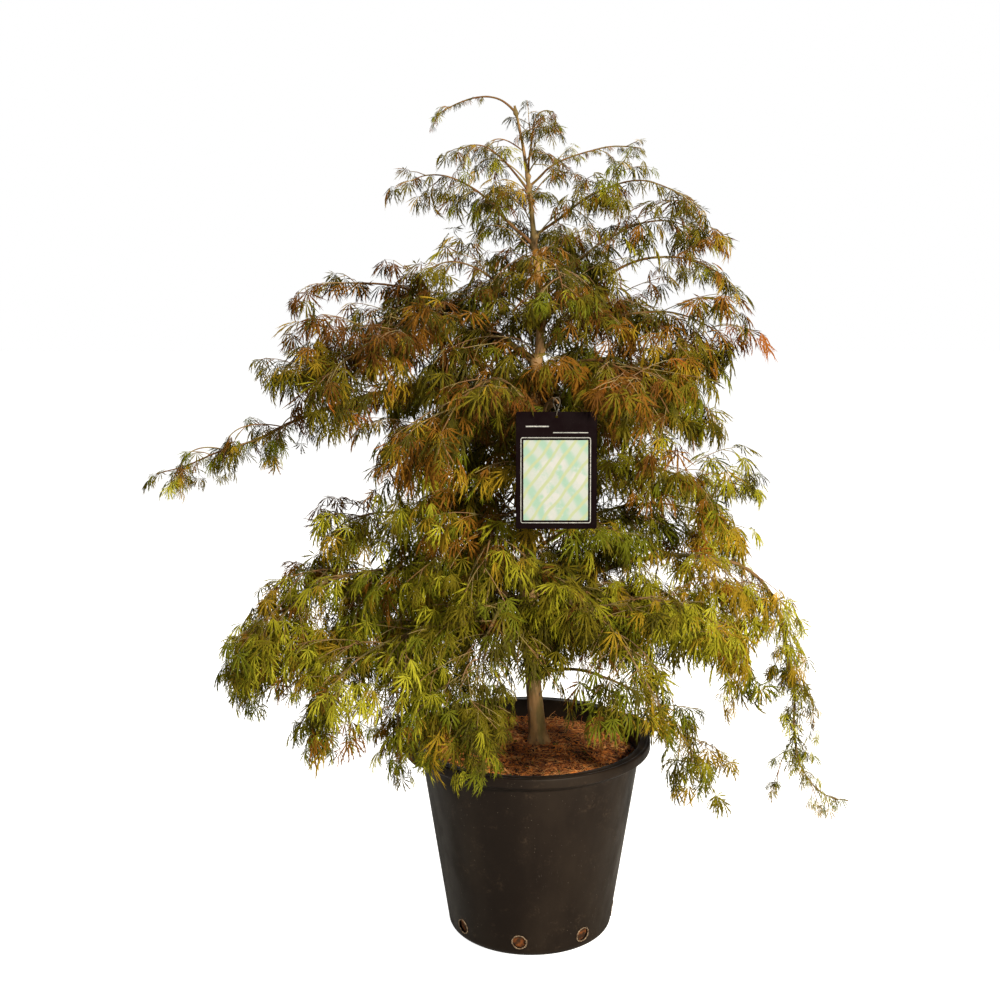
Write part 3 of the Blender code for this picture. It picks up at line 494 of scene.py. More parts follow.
def trunkAt(height):
    rows = trunk["stations"]
    heights = [row[0] for row in rows]
    height = min(max(height, heights[0]), heights[-1])
    low = max(i for i in range(len(heights) - 1) if heights[i] <= height)
    near = [rows[min(max(low + k, 0), len(heights) - 1)] for k in (-1, 0, 1, 2)]
    span = near[2][0] - near[1][0]
    s = (height - near[1][0]) / span
    spot = []
    for column in (1, 2):
        a, b, c, d = (row[column] for row in near)
        slopeIn = (c - a) / (near[2][0] - near[0][0]) * span
        slopeOut = (d - b) / (near[3][0] - near[1][0]) * span
        spot.append(
            (2 * s ** 3 - 3 * s ** 2 + 1) * b + (s ** 3 - 2 * s ** 2 + s) * slopeIn
            + (3 * s ** 2 - 2 * s ** 3) * c + (s ** 3 - s ** 2) * slopeOut
        )
    return Vector((*spot, height)), near[1][3] + (near[2][3] - near[1][3]) * s


def bezier(a, b, c, d, steps):
    found = []
    for step in range(steps + 1):
        t = step / steps
        s = 1 - t
        found.append(a * s ** 3 + b * 3 * s * s * t + c * 3 * s * t * t + d * t ** 3)
    return found


def spaced(path, steps):
    lengths = [0.0]
    for a, b in zip(path, path[1:]):
        lengths.append(lengths[-1] + (b - a).length)
    found, low = [], 0
    for step in range(steps + 1):
        goal = lengths[-1] * step / steps
        while low < len(path) - 2 and lengths[low + 1] < goal:
            low += 1
        share = (goal - lengths[low]) / (lengths[low + 1] - lengths[low])
        found.append(path[low].lerp(path[low + 1], min(share, 1.0)))
    return found


def along(path, share):
    place = min(max(share, 0.0), 1.0) * (len(path) - 1)
    low = min(int(place), len(path) - 2)
    heading = path[min(low + 2, len(path) - 1)] - path[max(low - 1, 0)]
    return path[low].lerp(path[low + 1], place - low), heading.normalized()


def lengthOf(path):
    return sum((b - a).length for a, b in zip(path, path[1:]))


def bearing(degrees, rise=0.0):
    turn = math.radians(degrees)
    return Vector((math.cos(turn), math.sin(turn), rise))


def limbPath(limb):
    foot, _ = trunkAt(limb.foot)
    steps = limbShape["pathSteps"]
    level = bearing(limb.azimuth)
    tip = Vector((foot.x, foot.y, 0.0)) + level * limb.reach + up * limb.tip
    handle = (tip - foot).length * limbShape["archHandle"]
    rise, fall = math.radians(limb.rise), math.radians(limb.fall)
    leave = foot + (level * math.cos(rise) + up * math.sin(rise)) * handle
    falling = level * math.cos(fall) - up * math.sin(fall)
    path = bezier(foot, leave, tip - falling * handle, tip, steps)
    if limb.trail:
        out, down = limb.trail
        end = tip + level * out + up * down
        reach = (end - tip).length
        near, far = (reach * share for share in limbShape["trailHandles"])
        path += bezier(tip, tip + falling * near, end - level * far, end, steps)[1:]
    return spaced(path, steps)


def limbRadius(limb, share):
    tip = limbShape["tipRadius"]
    return tip + (max(limb.radius, tip * 2) - tip) * (1 - share) ** limbShape["taper"]


def levelSide(heading):
    level = Vector((heading.x, heading.y, 0.0))
    if level.length < 0.1:
        level = Vector((1.0, 0.0, 0.0))
    return level.normalized().cross(up)


def bentPath(name, limb):
    # small bends between the joints, none at the foot
    seed = Vector((sum(ord(letter) for letter in name), 0.0, 0.0))
    bent = []
    for i, spot in enumerate(limbPath(limb)):
        place = spot * limbShape["wanderScale"] + seed
        bend = Vector([noise.noise(place + up * limbShape["wanderApart"] * axis) for axis in range(3)])
        bent.append(spot + bend * limbShape["wander"] * min(1.0, i / limbShape["wanderEase"]))
    return bent


limbPaths = {name: bentPath(name, limb) for name, limb in limbs.items()}


def tubePoints(path, radii, sides, skin=None):
    # rings along a path; skin gives the share that the radius changes by
    last = len(path) - 1
    side = levelSide(path[1] - path[0])
    points = []
    for i, centre in enumerate(path):
        ahead = (path[min(i + 1, last)] - path[max(i - 1, 0)]).normalized()
        side = (side - ahead * side.dot(ahead)).normalized()
        other = ahead.cross(side)
        for turn in range(sides):
            angle = 2 * math.pi * turn / sides
            out = side * math.cos(angle) + other * math.sin(angle)
            radius = radii[i] * (1 + skin(i, centre, out)) if skin else radii[i]
            points.append(centre + out * radius)
    return points


def tubeFaces(rings, sides, first=0):
    faces = []
    for ring in range(rings - 1):
        low = first + ring * sides
        for turn in range(sides):
            after = (turn + 1) % sides
            faces.append((low + turn, low + after, low + sides + after, low + sides + turn))
    top = first + (rings - 1) * sides
    faces.append(tuple(reversed(range(first, first + sides))))
    faces.append(tuple(range(top, top + sides)))
    return faces


# name: colour, streaks by scale and where they start and end, moss, pale patches
barks = {
    "trunkBark": ((0.265, 0.150, 0.062), (26.0, 0.42, 0.60), (0.125, 0.090, 0.030), (0.34, 0.22, 0.11)),
    "limbBark": ((0.165, 0.090, 0.035), (30.0, 0.44, 0.60), (0.110, 0.088, 0.020), (0.29, 0.19, 0.09)),
    "shootBark": ((0.125, 0.056, 0.018), (30.0, 0.42, 0.60), (0.115, 0.076, 0.015), (0.20, 0.11, 0.04)),
}


def makeBarkFinish(name):
    colour, streaks, moss, pale = barks[name]
    finish = Finish(name, colour, 0.7, specular=0.2)
    mossy = finish.layer(finish.patches(*streaks, (1, 1, 0.22)), moss)
    worn = finish.layer(finish.patches(34.0, 0.58, 0.70, (1, 1, 0.5)), pale, mossy)
    finish.paint(finish.layer(finish.patches(150.0, 0.56, 0.70, (1, 1, 0.25)), (0.060, 0.042, 0.026), worn))
    finish.rough(finish.patches(60.0, 0.35, 0.65), 0.55, 0.85)
    finish.bump(finish.relief(120.0, 520.0, 0.45, (1, 1, 0.3)), 0.55, 0.0012)
    return finish.material


def makeTrunk():
    foot, top = trunk["stations"][0][0] - trunk["sink"], trunk["stations"][-1][0]
    rings = round((top - foot) / trunk["ring"])
    path, radii = [], []
    for ring in range(rings + 1):
        height = foot + (top - foot) * ring / rings
        centre, radius = trunkAt(height)
        path.append(Vector((centre.x, centre.y, height)))
        radii.append(radius)
    knots = []
    for limb in limbs.values():
        centre, radius = trunkAt(limb.foot)
        knots.append((centre + bearing(limb.azimuth, 0.25) * radius, limb.radius * 1.2 + 0.003))

    def skin(ring, centre, out):
        here = centre + out * radii[ring]
        found = 0.0
        for share, level, tall in trunk["ridges"]:
            found += share * noise.noise(Vector((out.x * level, out.y * level, centre.z * tall)))
        # roots spread at the foot
        flare = math.exp((foot - centre.z) / trunk["flareHeight"])
        found += trunk["flare"] * flare * math.cos(trunk["roots"] * math.atan2(out.y, out.x) + 0.8)
        for spot, reach in knots:
            if abs(spot.z - here.z) < 3 * reach:
                near = math.exp(-((here - spot).length / reach) ** 2)
                found += trunk["knot"] * reach / radii[ring] * near
        return found

    points = tubePoints(path, radii, trunk["sides"], skin)
    faces = tubeFaces(len(path), trunk["sides"])
    seat(meshObject("trunkBark", points, faces, [makeBarkFinish("trunkBark")], smooth=True), "bark", "trunk")


def limbSkin(_, centre, out):
    return limbShape["ridge"] * noise.noise(out * 2.2 + centre * 30)


def limbTube(name, limb, joints):
    # the middle line and its radii; it swells at the trunk and where twigs leave
    run = lengthOf(limbPaths[name])
    steps = max(12, round(run / limbShape["ring"]))
    path = spaced(limbPaths[name], steps)
    radii = []
    for step in range(steps + 1):
        share = step / steps
        radius = limbRadius(limb, share)
        radius *= 1 + limbShape["collar"] * math.exp(-share * run / limbShape["collarReach"])
        near = min((abs(share - joint) * run for joint in joints), default=1.0)
        radii.append(radius * (1 + limbShape["joint"] * math.exp(-(near / (1.5 * radius + 0.001)) ** 2)))
    if name == "card_bough":
        path = [spot for spot in path if spot.y > tieEnd]
    return path, radii[:len(path)]


def makeLimbs(joints):
    # all limbs in two pieces; joints are the shares of each limb at which twigs leave
    sides = limbShape["sides"]
    for label, low, high, bark in (("lower", 0.0, 1.09, "limbBark"), ("upper", 1.09, 9.0, "shootBark")):
        points, faces, covered = [], [], []
        for name, limb in limbs.items():
            if not low <= limb.foot < high:
                continue
            path, radii = limbTube(name, limb, joints[name])
            faces += tubeFaces(len(path), sides, len(points))
            points += tubePoints(path, radii, sides, limbSkin)
            if limb.bough:
                covered.append("bough_" + name)
        made = meshObject("limbs_" + label, points, faces, [makeBarkFinish(bark)], smooth=True)
        seat(made, "bark", *covered)
        print("limbs", label, len(faces))


# leaves and twigs

growth = {
    "seed": 5,
    "twigSpacing": 0.021,
    "twigReach": (0.50, 1.45),
    "twigAhead": (0.45, 0.95),
    "twigAside": (0.5, 1.1),
    "twigLift": (-0.45, 0.85),
    "leafyFrom": 0.25,  # share of a bough that stays bare
    "twigStep": 0.022,
    "twigWander": 0.16,
    "twigSag": (0.25, 1.0),
    "twigRadius": 0.0012,
    "twigTipRadius": 0.0007,
    "bareStem": 0.05,
    "shootSpacing": 0.027,
    "shootShare": 0.55,  # of what is left of its twig
    "shootLongest": 0.085,
    "shootShortest": 0.022,
    "shootVaries": (0.7, 1.2),
    "shootRadius": 0.0009,
    "shootAside": (0.5, 1.0),
    "shootLift": (-0.3, 0.25),
    "leafSpacing": 0.030,
    "leafLength": 0.047,
    "leafVaries": (0.60, 1.25),
    "leafAside": (0.5, 1.0),
    "leafLift": (-0.2, 0.3),
    "leafDroop": (0.5, 1.4),
    "shapeWeights": (2, 2, 3, 3, 2, 2),
    "leafSkip": 0.15,  # share of the leaves that never came
    "fullSpread": 0.120,  # masses with shorter twigs than this have smaller leaves
    "strayTint": 0.50,  # share of the leaves in another tint than their twig's
    "droop": 0.86,
    "shake": 0.42,
    "faceShake": 0.6,
    # name: share of the limb past which it thins out, and the leaf size left at its tip
    "thinning": {
        "card_bough": (0.0, 0.62),
        "far_right": (0.50, 0.62),
        "long_left": (0.55, 0.90),
        "stray_right": (0.2, 0.65),
        "top_arch": (0.3, 0.80),
    },
    "thinPace": 1.8,
    # name: share of the limb that carries nothing
    "bareTo": {"card_bough": 0.80, "arched_right": 0.50, "hanging_right": 0.48},
    # rows of height and value
    "fullness": (
        (0.0, 0.92), (0.62, 0.96), (0.80, 0.68), (0.98, 0.74),
        (1.10, 0.68), (1.28, 0.72), (1.45, 0.64), (2.0, 0.54),
    ),
    "leafTaper": ((0.0, 1.0), (1.20, 1.0), (1.50, 0.80), (1.80, 0.70)),
    # how near the trunk the leaves take the darker inner tints: painted shade deep in the crown
    "innerDark": ((0.0, 0.0), (0.90, 0.0), (0.98, 0.20), (1.30, 0.20), (1.50, 0.10), (2.0, 0.05)),
    # limbs by the height that their foot is above
    "tints": (("crown", 1.26), ("bronze", 1.09), ("olive", 0.80), ("green", 0.0)),
    "tiers": (("crown", 1.30), ("upper", 1.09), ("middle", 0.80), ("low", 0.0)),
    "bronzeFrom": 1.10,
}

# short shoots on the trunk that fill the crown between the limbs
filling = {
    "foot": 0.58,
    "head": 1.665,
    "firstTurn": 40.0,
    "turn": (112.5, 162.5),
    "step": ((0.58, 0.030), (1.10, 0.030), (1.25, 0.029), (1.42, 0.028), (1.665, 0.022)),
    "stepVaries": (0.7, 1.3),
    "reach": ((0.58, 0.20), (1.15, 0.22), (1.42, 0.13), (1.665, 0.07)),
    "reachVaries": (0.7, 1.15),
    "rise": (35, 62),
    "fall": (15, 50),
    "tip": (0.15, 0.55),
    "spread": (0.05, 0.35),
    "radius": 0.0018,
    "tipRadius": 0.00112,
}

# where nothing may grow
clearance = {
    "crown": 0.006,
    "card": 0.012,
    "cardHead": (0.028, 0.002),  # how far twigs may hang over it, left and right
    "cardHeadTurn": 0.006,  # left of its middle
    # the gap in front of the trunk's foot, which rises to the front
    "gapSides": (-0.022, 0.050),
    "gapBack": 0.02,
    "gapSlope": 0.37,
    "gapHeight": (0.04, 0.08),  # below and above the slope
    "pot": 0.006,
    "rim": 0.004,
    "rimFrom": 0.85,  # share of the pot's height
}

# lobes of one leaf: degrees from the middle, length, half width and where its teeth stand
leafLobes = (
    (0, 1.00, 0.038, (0.36, 0.58)),
    (30, 0.94, 0.037, (0.36, 0.58)),
    (61, 0.78, 0.034, (0.40,)),
    (94, 0.48, 0.030, ()),
)
leafTooth = (0.12, 0.30, 0.085)  # its foot and reach along the lobe, and its reach beside the rib
leafStalk = (0.26, 0.20, 0.012)  # how far it leads ahead and up, and its half width
leafShapes = {
    # spread of the lobes, droop of their tips, slope from the rib
    "open": (1.00, 0.20, 0.7),
    "openBent": (0.90, 0.30, 0.8),
    "half": (0.80, 0.34, 0.9),
    "halfBent": (0.72, 0.44, 0.9),
    "hanging": (0.58, 0.46, 1.0),
    "hangingBent": (0.46, 0.36, 1.0),
}
leafUneven = (7.0, 0.16, 0.4)  # how far lobes stray in degrees, length and droop

leafTints = {
    "darkOlive": (0.048, 0.041, 0.004),
    "olive": (0.104, 0.084, 0.005),
    "midGreen": (0.098, 0.106, 0.006),
    "yellowGreen": (0.205, 0.190, 0.010),
    "lime": (0.310, 0.295, 0.020),
    "goldenOlive": (0.225, 0.146, 0.009),
    "bronze": (0.150, 0.064, 0.006),
    "brown": (0.086, 0.034, 0.005),
    "rust": (0.215, 0.068, 0.008),
    "gold": (0.370, 0.220, 0.015),
}
tintNames = list(leafTints)

# how the tints are dealt out by spray, with their weights
palettes = {
    "crown": {
        "darkOlive": 6, "olive": 7, "midGreen": 2, "bronze": 2.5, "brown": 2.5,
        "goldenOlive": 1.5, "yellowGreen": 0.6,
    },
    "bronze": {
        "olive": 5, "bronze": 4, "brown": 4, "goldenOlive": 2, "darkOlive": 5,
        "rust": 0.8, "yellowGreen": 0.5,
    },
    "olive": {"olive": 5, "midGreen": 3, "goldenOlive": 2.5, "yellowGreen": 3, "darkOlive": 2, "bronze": 1.5},
    "green": {"yellowGreen": 3.5, "midGreen": 4, "olive": 4, "lime": 1, "goldenOlive": 1.5, "darkOlive": 2.5},
    # darker tints for the leaves under the card: painted shade
    "deep": {"darkOlive": 4, "olive": 5, "midGreen": 3.5, "brown": 1.2, "yellowGreen": 1.6},
    # darker tints near the trunk: painted shade inside the crown
    "inner": {"darkOlive": 7, "olive": 4, "brown": 4, "bronze": 1.5, "midGreen": 1.5},
    # brighter tints for the low leaves on the left: painted light
    "lit": {
        "yellowGreen": 6, "midGreen": 3, "olive": 2.5, "goldenOlive": 3, "lime": 2.6, "darkOlive": 0.6,
        "bronze": 1.5,
    },
    "gold": {"gold": 1.5, "goldenOlive": 4, "lime": 2, "yellowGreen": 4, "rust": 0.3},
}

# places with a palette of their own, from left to right and from low to high
tintedPlaces = {
    # deep: darker tints under the card, painted shade
    "deep": (-0.16, 0.16, 0.50, 0.85),
    # lit: brighter tints low on the left, painted light
    "lit": (-9.0, -0.15, -9.0, 0.96),
    "gold": (0.30, 0.56, 0.55, 0.86),
    "olive": (-9.0, -0.48, -9.0, 9.0),
}


def between(rows, height):
    # reads a value from rows of (height, value)
    low = max(i for i in range(len(rows) - 1) if rows[i][0] <= height)
    share = (height - rows[low][0]) / (rows[low + 1][0] - rows[low][0])
    return rows[low][1] + (rows[low + 1][1] - rows[low][1]) * share


def paletteFor(limb, spot):
    for name, (left, right, low, high) in tintedPlaces.items():
        if left < spot.x < right and low < spot.z < high:
            return name
    # leaves near the trunk take darker tints: painted shade inside the crown
    if math.hypot(spot.x, spot.y) < between(growth["innerDark"], spot.z):
        return "inner"
    return next(name for name, foot in growth["tints"] if limb.foot > foot)


def shaken(rng, limit):
    return Vector([rng.uniform(-limit, limit) for _ in range(3)])


def twigPath(start, heading, length, sag, rng):
    points = [start]
    direction = heading.normalized()
    steps = max(2, round(length / growth["twigStep"]))
    wander = growth["twigWander"] / math.sqrt(steps)
    for _ in range(steps):
        direction = (direction + shaken(rng, wander) - up * sag / steps).normalized()
        points.append(points[-1] + direction * length / steps)
    return points


def twigLength(limb, share):
    # longest a little past the middle of the limb
    return limb.spread * (0.40 + 0.60 * math.sin(math.pi * (0.15 + 0.75 * share)))


cardLow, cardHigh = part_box("card")
tieEnd = cardLow.y - 0.012  # where the card's bough ends
potLow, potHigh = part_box("pot")
rimRadius = 0.5 * (potHigh.y - potLow.y)


def blocked(spot):
    # past the crown's own limits, in front of the card, or in the pot's wall and the soil
    past = clearance["crown"]
    if any(not cadBox[0][axis] - past < spot[axis] < cadBox[1][axis] + past for axis in range(3)):
        return True
    room = clearance["card"]
    wide = cardLow.x - room < spot.x < cardHigh.x + room
    left = spot.x < (cardLow.x + cardHigh.x) / 2 - clearance["cardHeadTurn"]
    head = cardHigh.z - clearance["cardHead"][0 if left else 1]
    if wide and cardLow.z - room < spot.z < head and spot.y < cardHigh.y + room:
        return True
    start, end = clearance["gapSides"]
    below, above = clearance["gapHeight"]
    sill = potHigh.z - clearance["gapSlope"] * spot.y
    if start < spot.x < end and spot.y < clearance["gapBack"] and sill - below < spot.z < sill + above:
        return True
    if spot.z > potHigh.z + clearance["pot"]:
        return False
    wall = pot["wallBase"] + (rimRadius - pot["wallBase"]) * spot.z / potHigh.z + clearance["pot"]
    rim = rimRadius * (spot.z > clearance["rimFrom"] * potHigh.z) + clearance["rim"]
    return math.hypot(spot.x, spot.y) < max(wall, rim)


# hanging and filling shoots: limb, share along it, degrees, level reach, drop, twig length
drapes = {
    "drapeFront": ("low_front", 0.62, 262, 0.085, 0.165, 0.085),
    "drapeFrontLeft": ("low_front", 0.80, 225, 0.060, 0.130, 0.085),
    "drapeRim": ("low_front_left", 0.55, 285, 0.090, 0.150, 0.085),
    "drapeRimLeft": ("low_front_left", 0.52, 255, 0.120, 0.235, 0.080),
    "drapeRimMiddle": ("low_front", 0.72, 258, 0.050, 0.225, 0.085),
    "drapeRimFar": ("low_front_left", 0.42, 235, 0.150, 0.200, 0.080),
    "drapeLeft": ("low_front_left", 0.85, 215, 0.060, 0.100, 0.09),
    "drapeLowLeft": ("low_front_left", 0.66, 175, 0.120, 0.120, 0.10),
    "drapeFarLeft": ("low_left", 0.62, 205, 0.090, 0.150, 0.11),
    "drapeFarLeftLow": ("low_left", 0.78, 215, 0.090, 0.170, 0.11),
    "drapeFarLeftTip": ("low_left", 0.92, 190, 0.050, 0.110, 0.09),
    "drapeLeftMiddle": ("low_left", 0.44, 215, 0.130, 0.150, 0.11),
    "fillLowLeftOver": ("low_left", 0.52, 180, 0.210, 0.045, 0.11),
    "drapeRimEdge": ("low_front_left", 0.60, 272, 0.100, 0.190, 0.085),
    "drapeRight": ("low_right", 0.80, 320, 0.070, 0.120, 0.085),
    "drapeLong": ("long_left", 0.60, 200, 0.060, 0.085, 0.07),
    "alongLong": ("long_left", 0.66, 188, 0.110, 0.030, 0.07),
    "alongLongEnd": ("long_left", 0.82, 182, 0.090, 0.040, 0.06),
    "fillLeftHigh": ("middle_left_high", 0.45, 215, 0.170, 0.060, 0.11),
    "fillLeftFront": ("long_left", 0.40, 205, 0.160, -0.070, 0.10),
    "fillLeftOver": ("middle_left_high", 0.35, 195, 0.150, -0.010, 0.10),
    "fillLeftRising": ("long_left", 0.36, 168, 0.190, -0.060, 0.10),
    "fillLeftUnder": ("long_left", 0.30, 205, 0.170, 0.030, 0.10),
    "fillLeftMiddle": ("middle_left", 0.45, 172, 0.230, 0.010, 0.12),
    "fillElbow": ("far_right", 0.30, 330, 0.140, 0.065, 0.11),
    "fillElbowTop": ("right_shoulder", 0.72, 4, 0.150, -0.045, 0.085),
    "trailUpper": ("far_right", 0.70, 340, 0.045, 0.080, 0.06),
    "trailLower": ("far_right", 0.84, 200, 0.045, 0.075, 0.06),
}
drapeShape = {"from": 0.12, "handles": (0.75, 0.02, 0.45), "steps": 20, "radius": 0.0016}


def drapePath(parent, share, azimuth, reach, drop, _):
    # leaves level with a slight rise and ends hanging
    start, _ = along(limbPaths[parent], share)
    out, rise, hang = drapeShape["handles"]
    level = bearing(azimuth)
    end = start + level * reach - up * drop
    leave, near = start + level * reach * out + up * rise, end + up * drop * hang
    return bezier(start, leave, near, end, drapeShape["steps"])


def innerLimbs():
    # the drapes, and the short shoots on the trunk
    rng = random.Random(growth["seed"])
    found = {}
    for name, (parent, *_, spread) in drapes.items():
        found[name] = limbs[parent]._replace(radius=drapeShape["radius"], spread=spread)
    height, turn = filling["foot"], filling["firstTurn"]
    while height < filling["head"]:
        reach = between(filling["reach"], height) * rng.uniform(*filling["reachVaries"])
        rise, fall = rng.uniform(*filling["rise"]), rng.uniform(*filling["fall"])
        tip = height + reach * rng.uniform(*filling["tip"])
        least, more = filling["spread"]
        shoot = Limb(height, turn % 360, reach, tip, rise, fall, 0.0, least + more * reach, filling["radius"])
        found[f"inner{len(found)}"] = shoot
        height += between(filling["step"], height) * rng.uniform(*filling["stepVaries"])
        turn += rng.uniform(*filling["turn"])
    return found


class Spray:
    # everything that grows on one mass

    def __init__(self, name, limb):
        self.name = name
        self.limb = limb
        self.inner = name not in limbs
        if name in drapes:
            self.path = drapePath(*drapes[name])
            self.start = drapeShape["from"]
        else:
            self.path = limbPath(limb) if self.inner else limbPaths[name]
            self.start = growth["bareTo"].get(name, limb.bough * growth["leafyFrom"])
        self.thinFrom, self.thinTo = growth["thinning"].get(name, (1.0, 1.0))
        self.rng = random.Random(f"{growth['seed']} {name}")
        self.twigs = []  # (points, radii)
        self.leaves = []  # (place, forward, face, size, shape, tint)
        self.joints = []
        self.size = growth["leafLength"] * min(1.0, limb.spread / growth["fullSpread"])
        self.size *= between(growth["leafTaper"], limb.foot)

    def at(self, share):
        return along(self.path, self.start + (1 - self.start) * share)

    def thin(self, share):
        # how far twigs and leaves shrink towards a thinning tip
        past = (share - self.thinFrom) / (1 - self.thinFrom + 0.001)
        return 1.0 if past <= 0 else 1.0 + (self.thinTo - 1.0) * min(1.0, past * growth["thinPace"])

    def aim(self, ahead, beside, aside, lift):
        return ahead + beside * self.rng.uniform(*aside) + up * self.rng.uniform(*lift)

    def dealTint(self, spot):
        weights = palettes[paletteFor(self.limb, spot)]
        return self.rng.choices(list(weights), list(weights.values()))[0]

    def grow(self):
        limb, rng = self.limb, self.rng
        run = lengthOf(self.path) * (1 - self.start)
        if self.inner:
            self.addTwig(self.path, limb.radius, filling["tipRadius"])
        whole = self.size
        count = max(4, round(run / growth["twigSpacing"]))
        for place in range(count):
            share = (place + 0.5) / count
            start, heading = self.at(share)
            if not limb.bough and run * share < growth["bareStem"] * rng.uniform(0.3, 1.2):
                continue
            thin = self.thin(share)
            if rng.random() > thin + 0.25:
                continue
            side = levelSide(heading) * (-1) ** place
            ahead = heading * rng.uniform(*growth["twigAhead"])
            aim = self.aim(ahead, side, growth["twigAside"], growth["twigLift"])
            length = twigLength(limb, share) * rng.uniform(*growth["twigReach"]) * thin
            self.joints.append(self.start + (1 - self.start) * share)
            self.size = whole * thin
            self.growTwig(start, aim, length)
        self.size = whole * self.thin(1.0)
        self.leavesOn([self.at(i / 20)[0] for i in range(21)], 0.05 / run + 0.1, near=start)

    def growTwig(self, start, aim, length):
        rng = self.rng
        sag = rng.uniform(*growth["twigSag"])
        twig = twigPath(start, aim, length, sag, rng)
        if any(blocked(spot) for spot in twig) or rng.random() > between(growth["fullness"], start.z):
            return
        if self.limb is limbs["card_bough"] and start.y < tieEnd:
            return
        self.addTwig(twig, growth["twigRadius"], growth["twigTipRadius"])
        tint = self.dealTint(twig[-1])
        count = max(1, round(length / growth["shootSpacing"]))
        for place in range(count):
            share = (place + 0.6) / count
            root, heading = along(twig, share)
            side = levelSide(heading) * (-1) ** place
            aim = self.aim(heading * 0.9, side, growth["shootAside"], growth["shootLift"])
            reach = min(growth["shootLongest"], length * (1.15 - share) * growth["shootShare"])
            reach *= rng.uniform(*growth["shootVaries"])
            if reach < growth["shootShortest"]:
                continue
            shoot = twigPath(root, aim, reach, sag * 1.1, rng)
            if any(blocked(spot) for spot in shoot):
                continue
            self.addTwig(shoot, growth["shootRadius"], growth["twigTipRadius"])
            self.leavesOn(shoot, 0.25, tint)
        self.leavesOn(twig, 0.30, tint)

    def addTwig(self, points, thick, thin):
        last = len(points) - 1
        self.twigs.append((points, [thick + (thin - thick) * i / last for i in range(last + 1)]))

    def leavesOn(self, twig, bare, tint=None, near=None):
        # pairs of leaves past the bare share; without a tint each pair takes one that suits near
        spacing = growth["leafSpacing"] * self.size / growth["leafLength"]
        count = max(1, round(lengthOf(twig) * (1 - bare) / spacing))
        for place in range(1, count + 1):
            root, heading = along(twig, bare + (1 - bare) * place / count)
            side = levelSide(heading)
            shade = tint or self.dealTint(near)
            for hand in (-1, 1):
                if self.rng.random() > growth["leafSkip"]:
                    out = self.aim(heading * 0.55, side * hand, growth["leafAside"], growth["leafLift"])
                    self.addLeaf(root, out, shade)
            if place == count:
                self.addLeaf(root, heading, shade)

    def addLeaf(self, root, out, tint):
        rng = self.rng
        size = self.size * rng.uniform(*growth["leafVaries"])
        out = out.normalized()
        shake = shaken(rng, growth["shake"])
        forward = (out * 0.75 - up * growth["droop"] * rng.uniform(*growth["leafDroop"]) + shake).normalized()
        face = up + out * 0.6 + shaken(rng, growth["faceShake"])
        # its tip and its sides have to be clear
        aside = forward.cross(face).normalized() * size * 0.6
        ahead = root + forward * size * (1 + leafStalk[0])
        middle = root.lerp(ahead, 0.6)
        if any(blocked(spot) for spot in (ahead, middle + aside, middle - aside)):
            return
        shape = rng.choices(range(len(leafShapes)), growth["shapeWeights"])[0]
        if rng.random() < growth["strayTint"]:
            tint = self.dealTint(root)
        self.leaves.append((root, forward, face, size, shape, tintNames.index(tint)))


def makeLeafShape(name, spread, droop, slope):
    # one cut leaf that points along Y from the foot of its stalk, its upper side to Z
    ahead, above, wide = leafStalk
    base = Vector((0.0, ahead, above))
    edge = Vector((wide, 0.0, 0.0))
    points = [-edge, edge, base + edge, base - edge]
    faces = [(0, 1, 2), (0, 2, 3)]
    rng = random.Random(name)
    foot, reach, beside = leafTooth
    for turn, whole, half, teeth in leafLobes:
        for hand in (1, -1) if turn else (1,):
            stray, uneven, sway = (rng.uniform(-limit, limit) for limit in leafUneven)
            angle = math.radians(turn * hand * spread + stray)
            length = whole * (1 + uneven)
            hang = droop * (1 + sway)
            lead = Vector((math.sin(angle), math.cos(angle), 0.0))
            across = Vector((lead.y, -lead.x, 0.0))

            def onLobe(share, out=0.0):
                # a spot on the lobe, out beside its rib
                fall = hang * length * share * share + slope * abs(out)
                return base + lead * length * share + across * out - up * fall

            first = len(points)
            points += [base, onLobe(0.42, half), onLobe(0.55), onLobe(0.42, -half), onLobe(1.0)]
            corners = ((0, 1, 2), (0, 2, 3), (2, 1, 4), (2, 4, 3))
            faces += [tuple(first + corner for corner in face) for face in corners]
            for share in teeth:
                for out in (beside * length, -beside * length):
                    first = len(points)
                    points += [onLobe(share), onLobe(share + foot), onLobe(share + reach, out)]
                    faces.append((first, first + 1, first + 2))
    return meshObject(name, points, faces)


def makeLeafFinish(name, colour):
    finish = Finish("leaf" + name[0].upper() + name[1:], colour, 0.60, specular=0.05)
    finish.rough(finish.patches(60.0, 0.35, 0.65), 0.46, 0.70)
    return finish.material


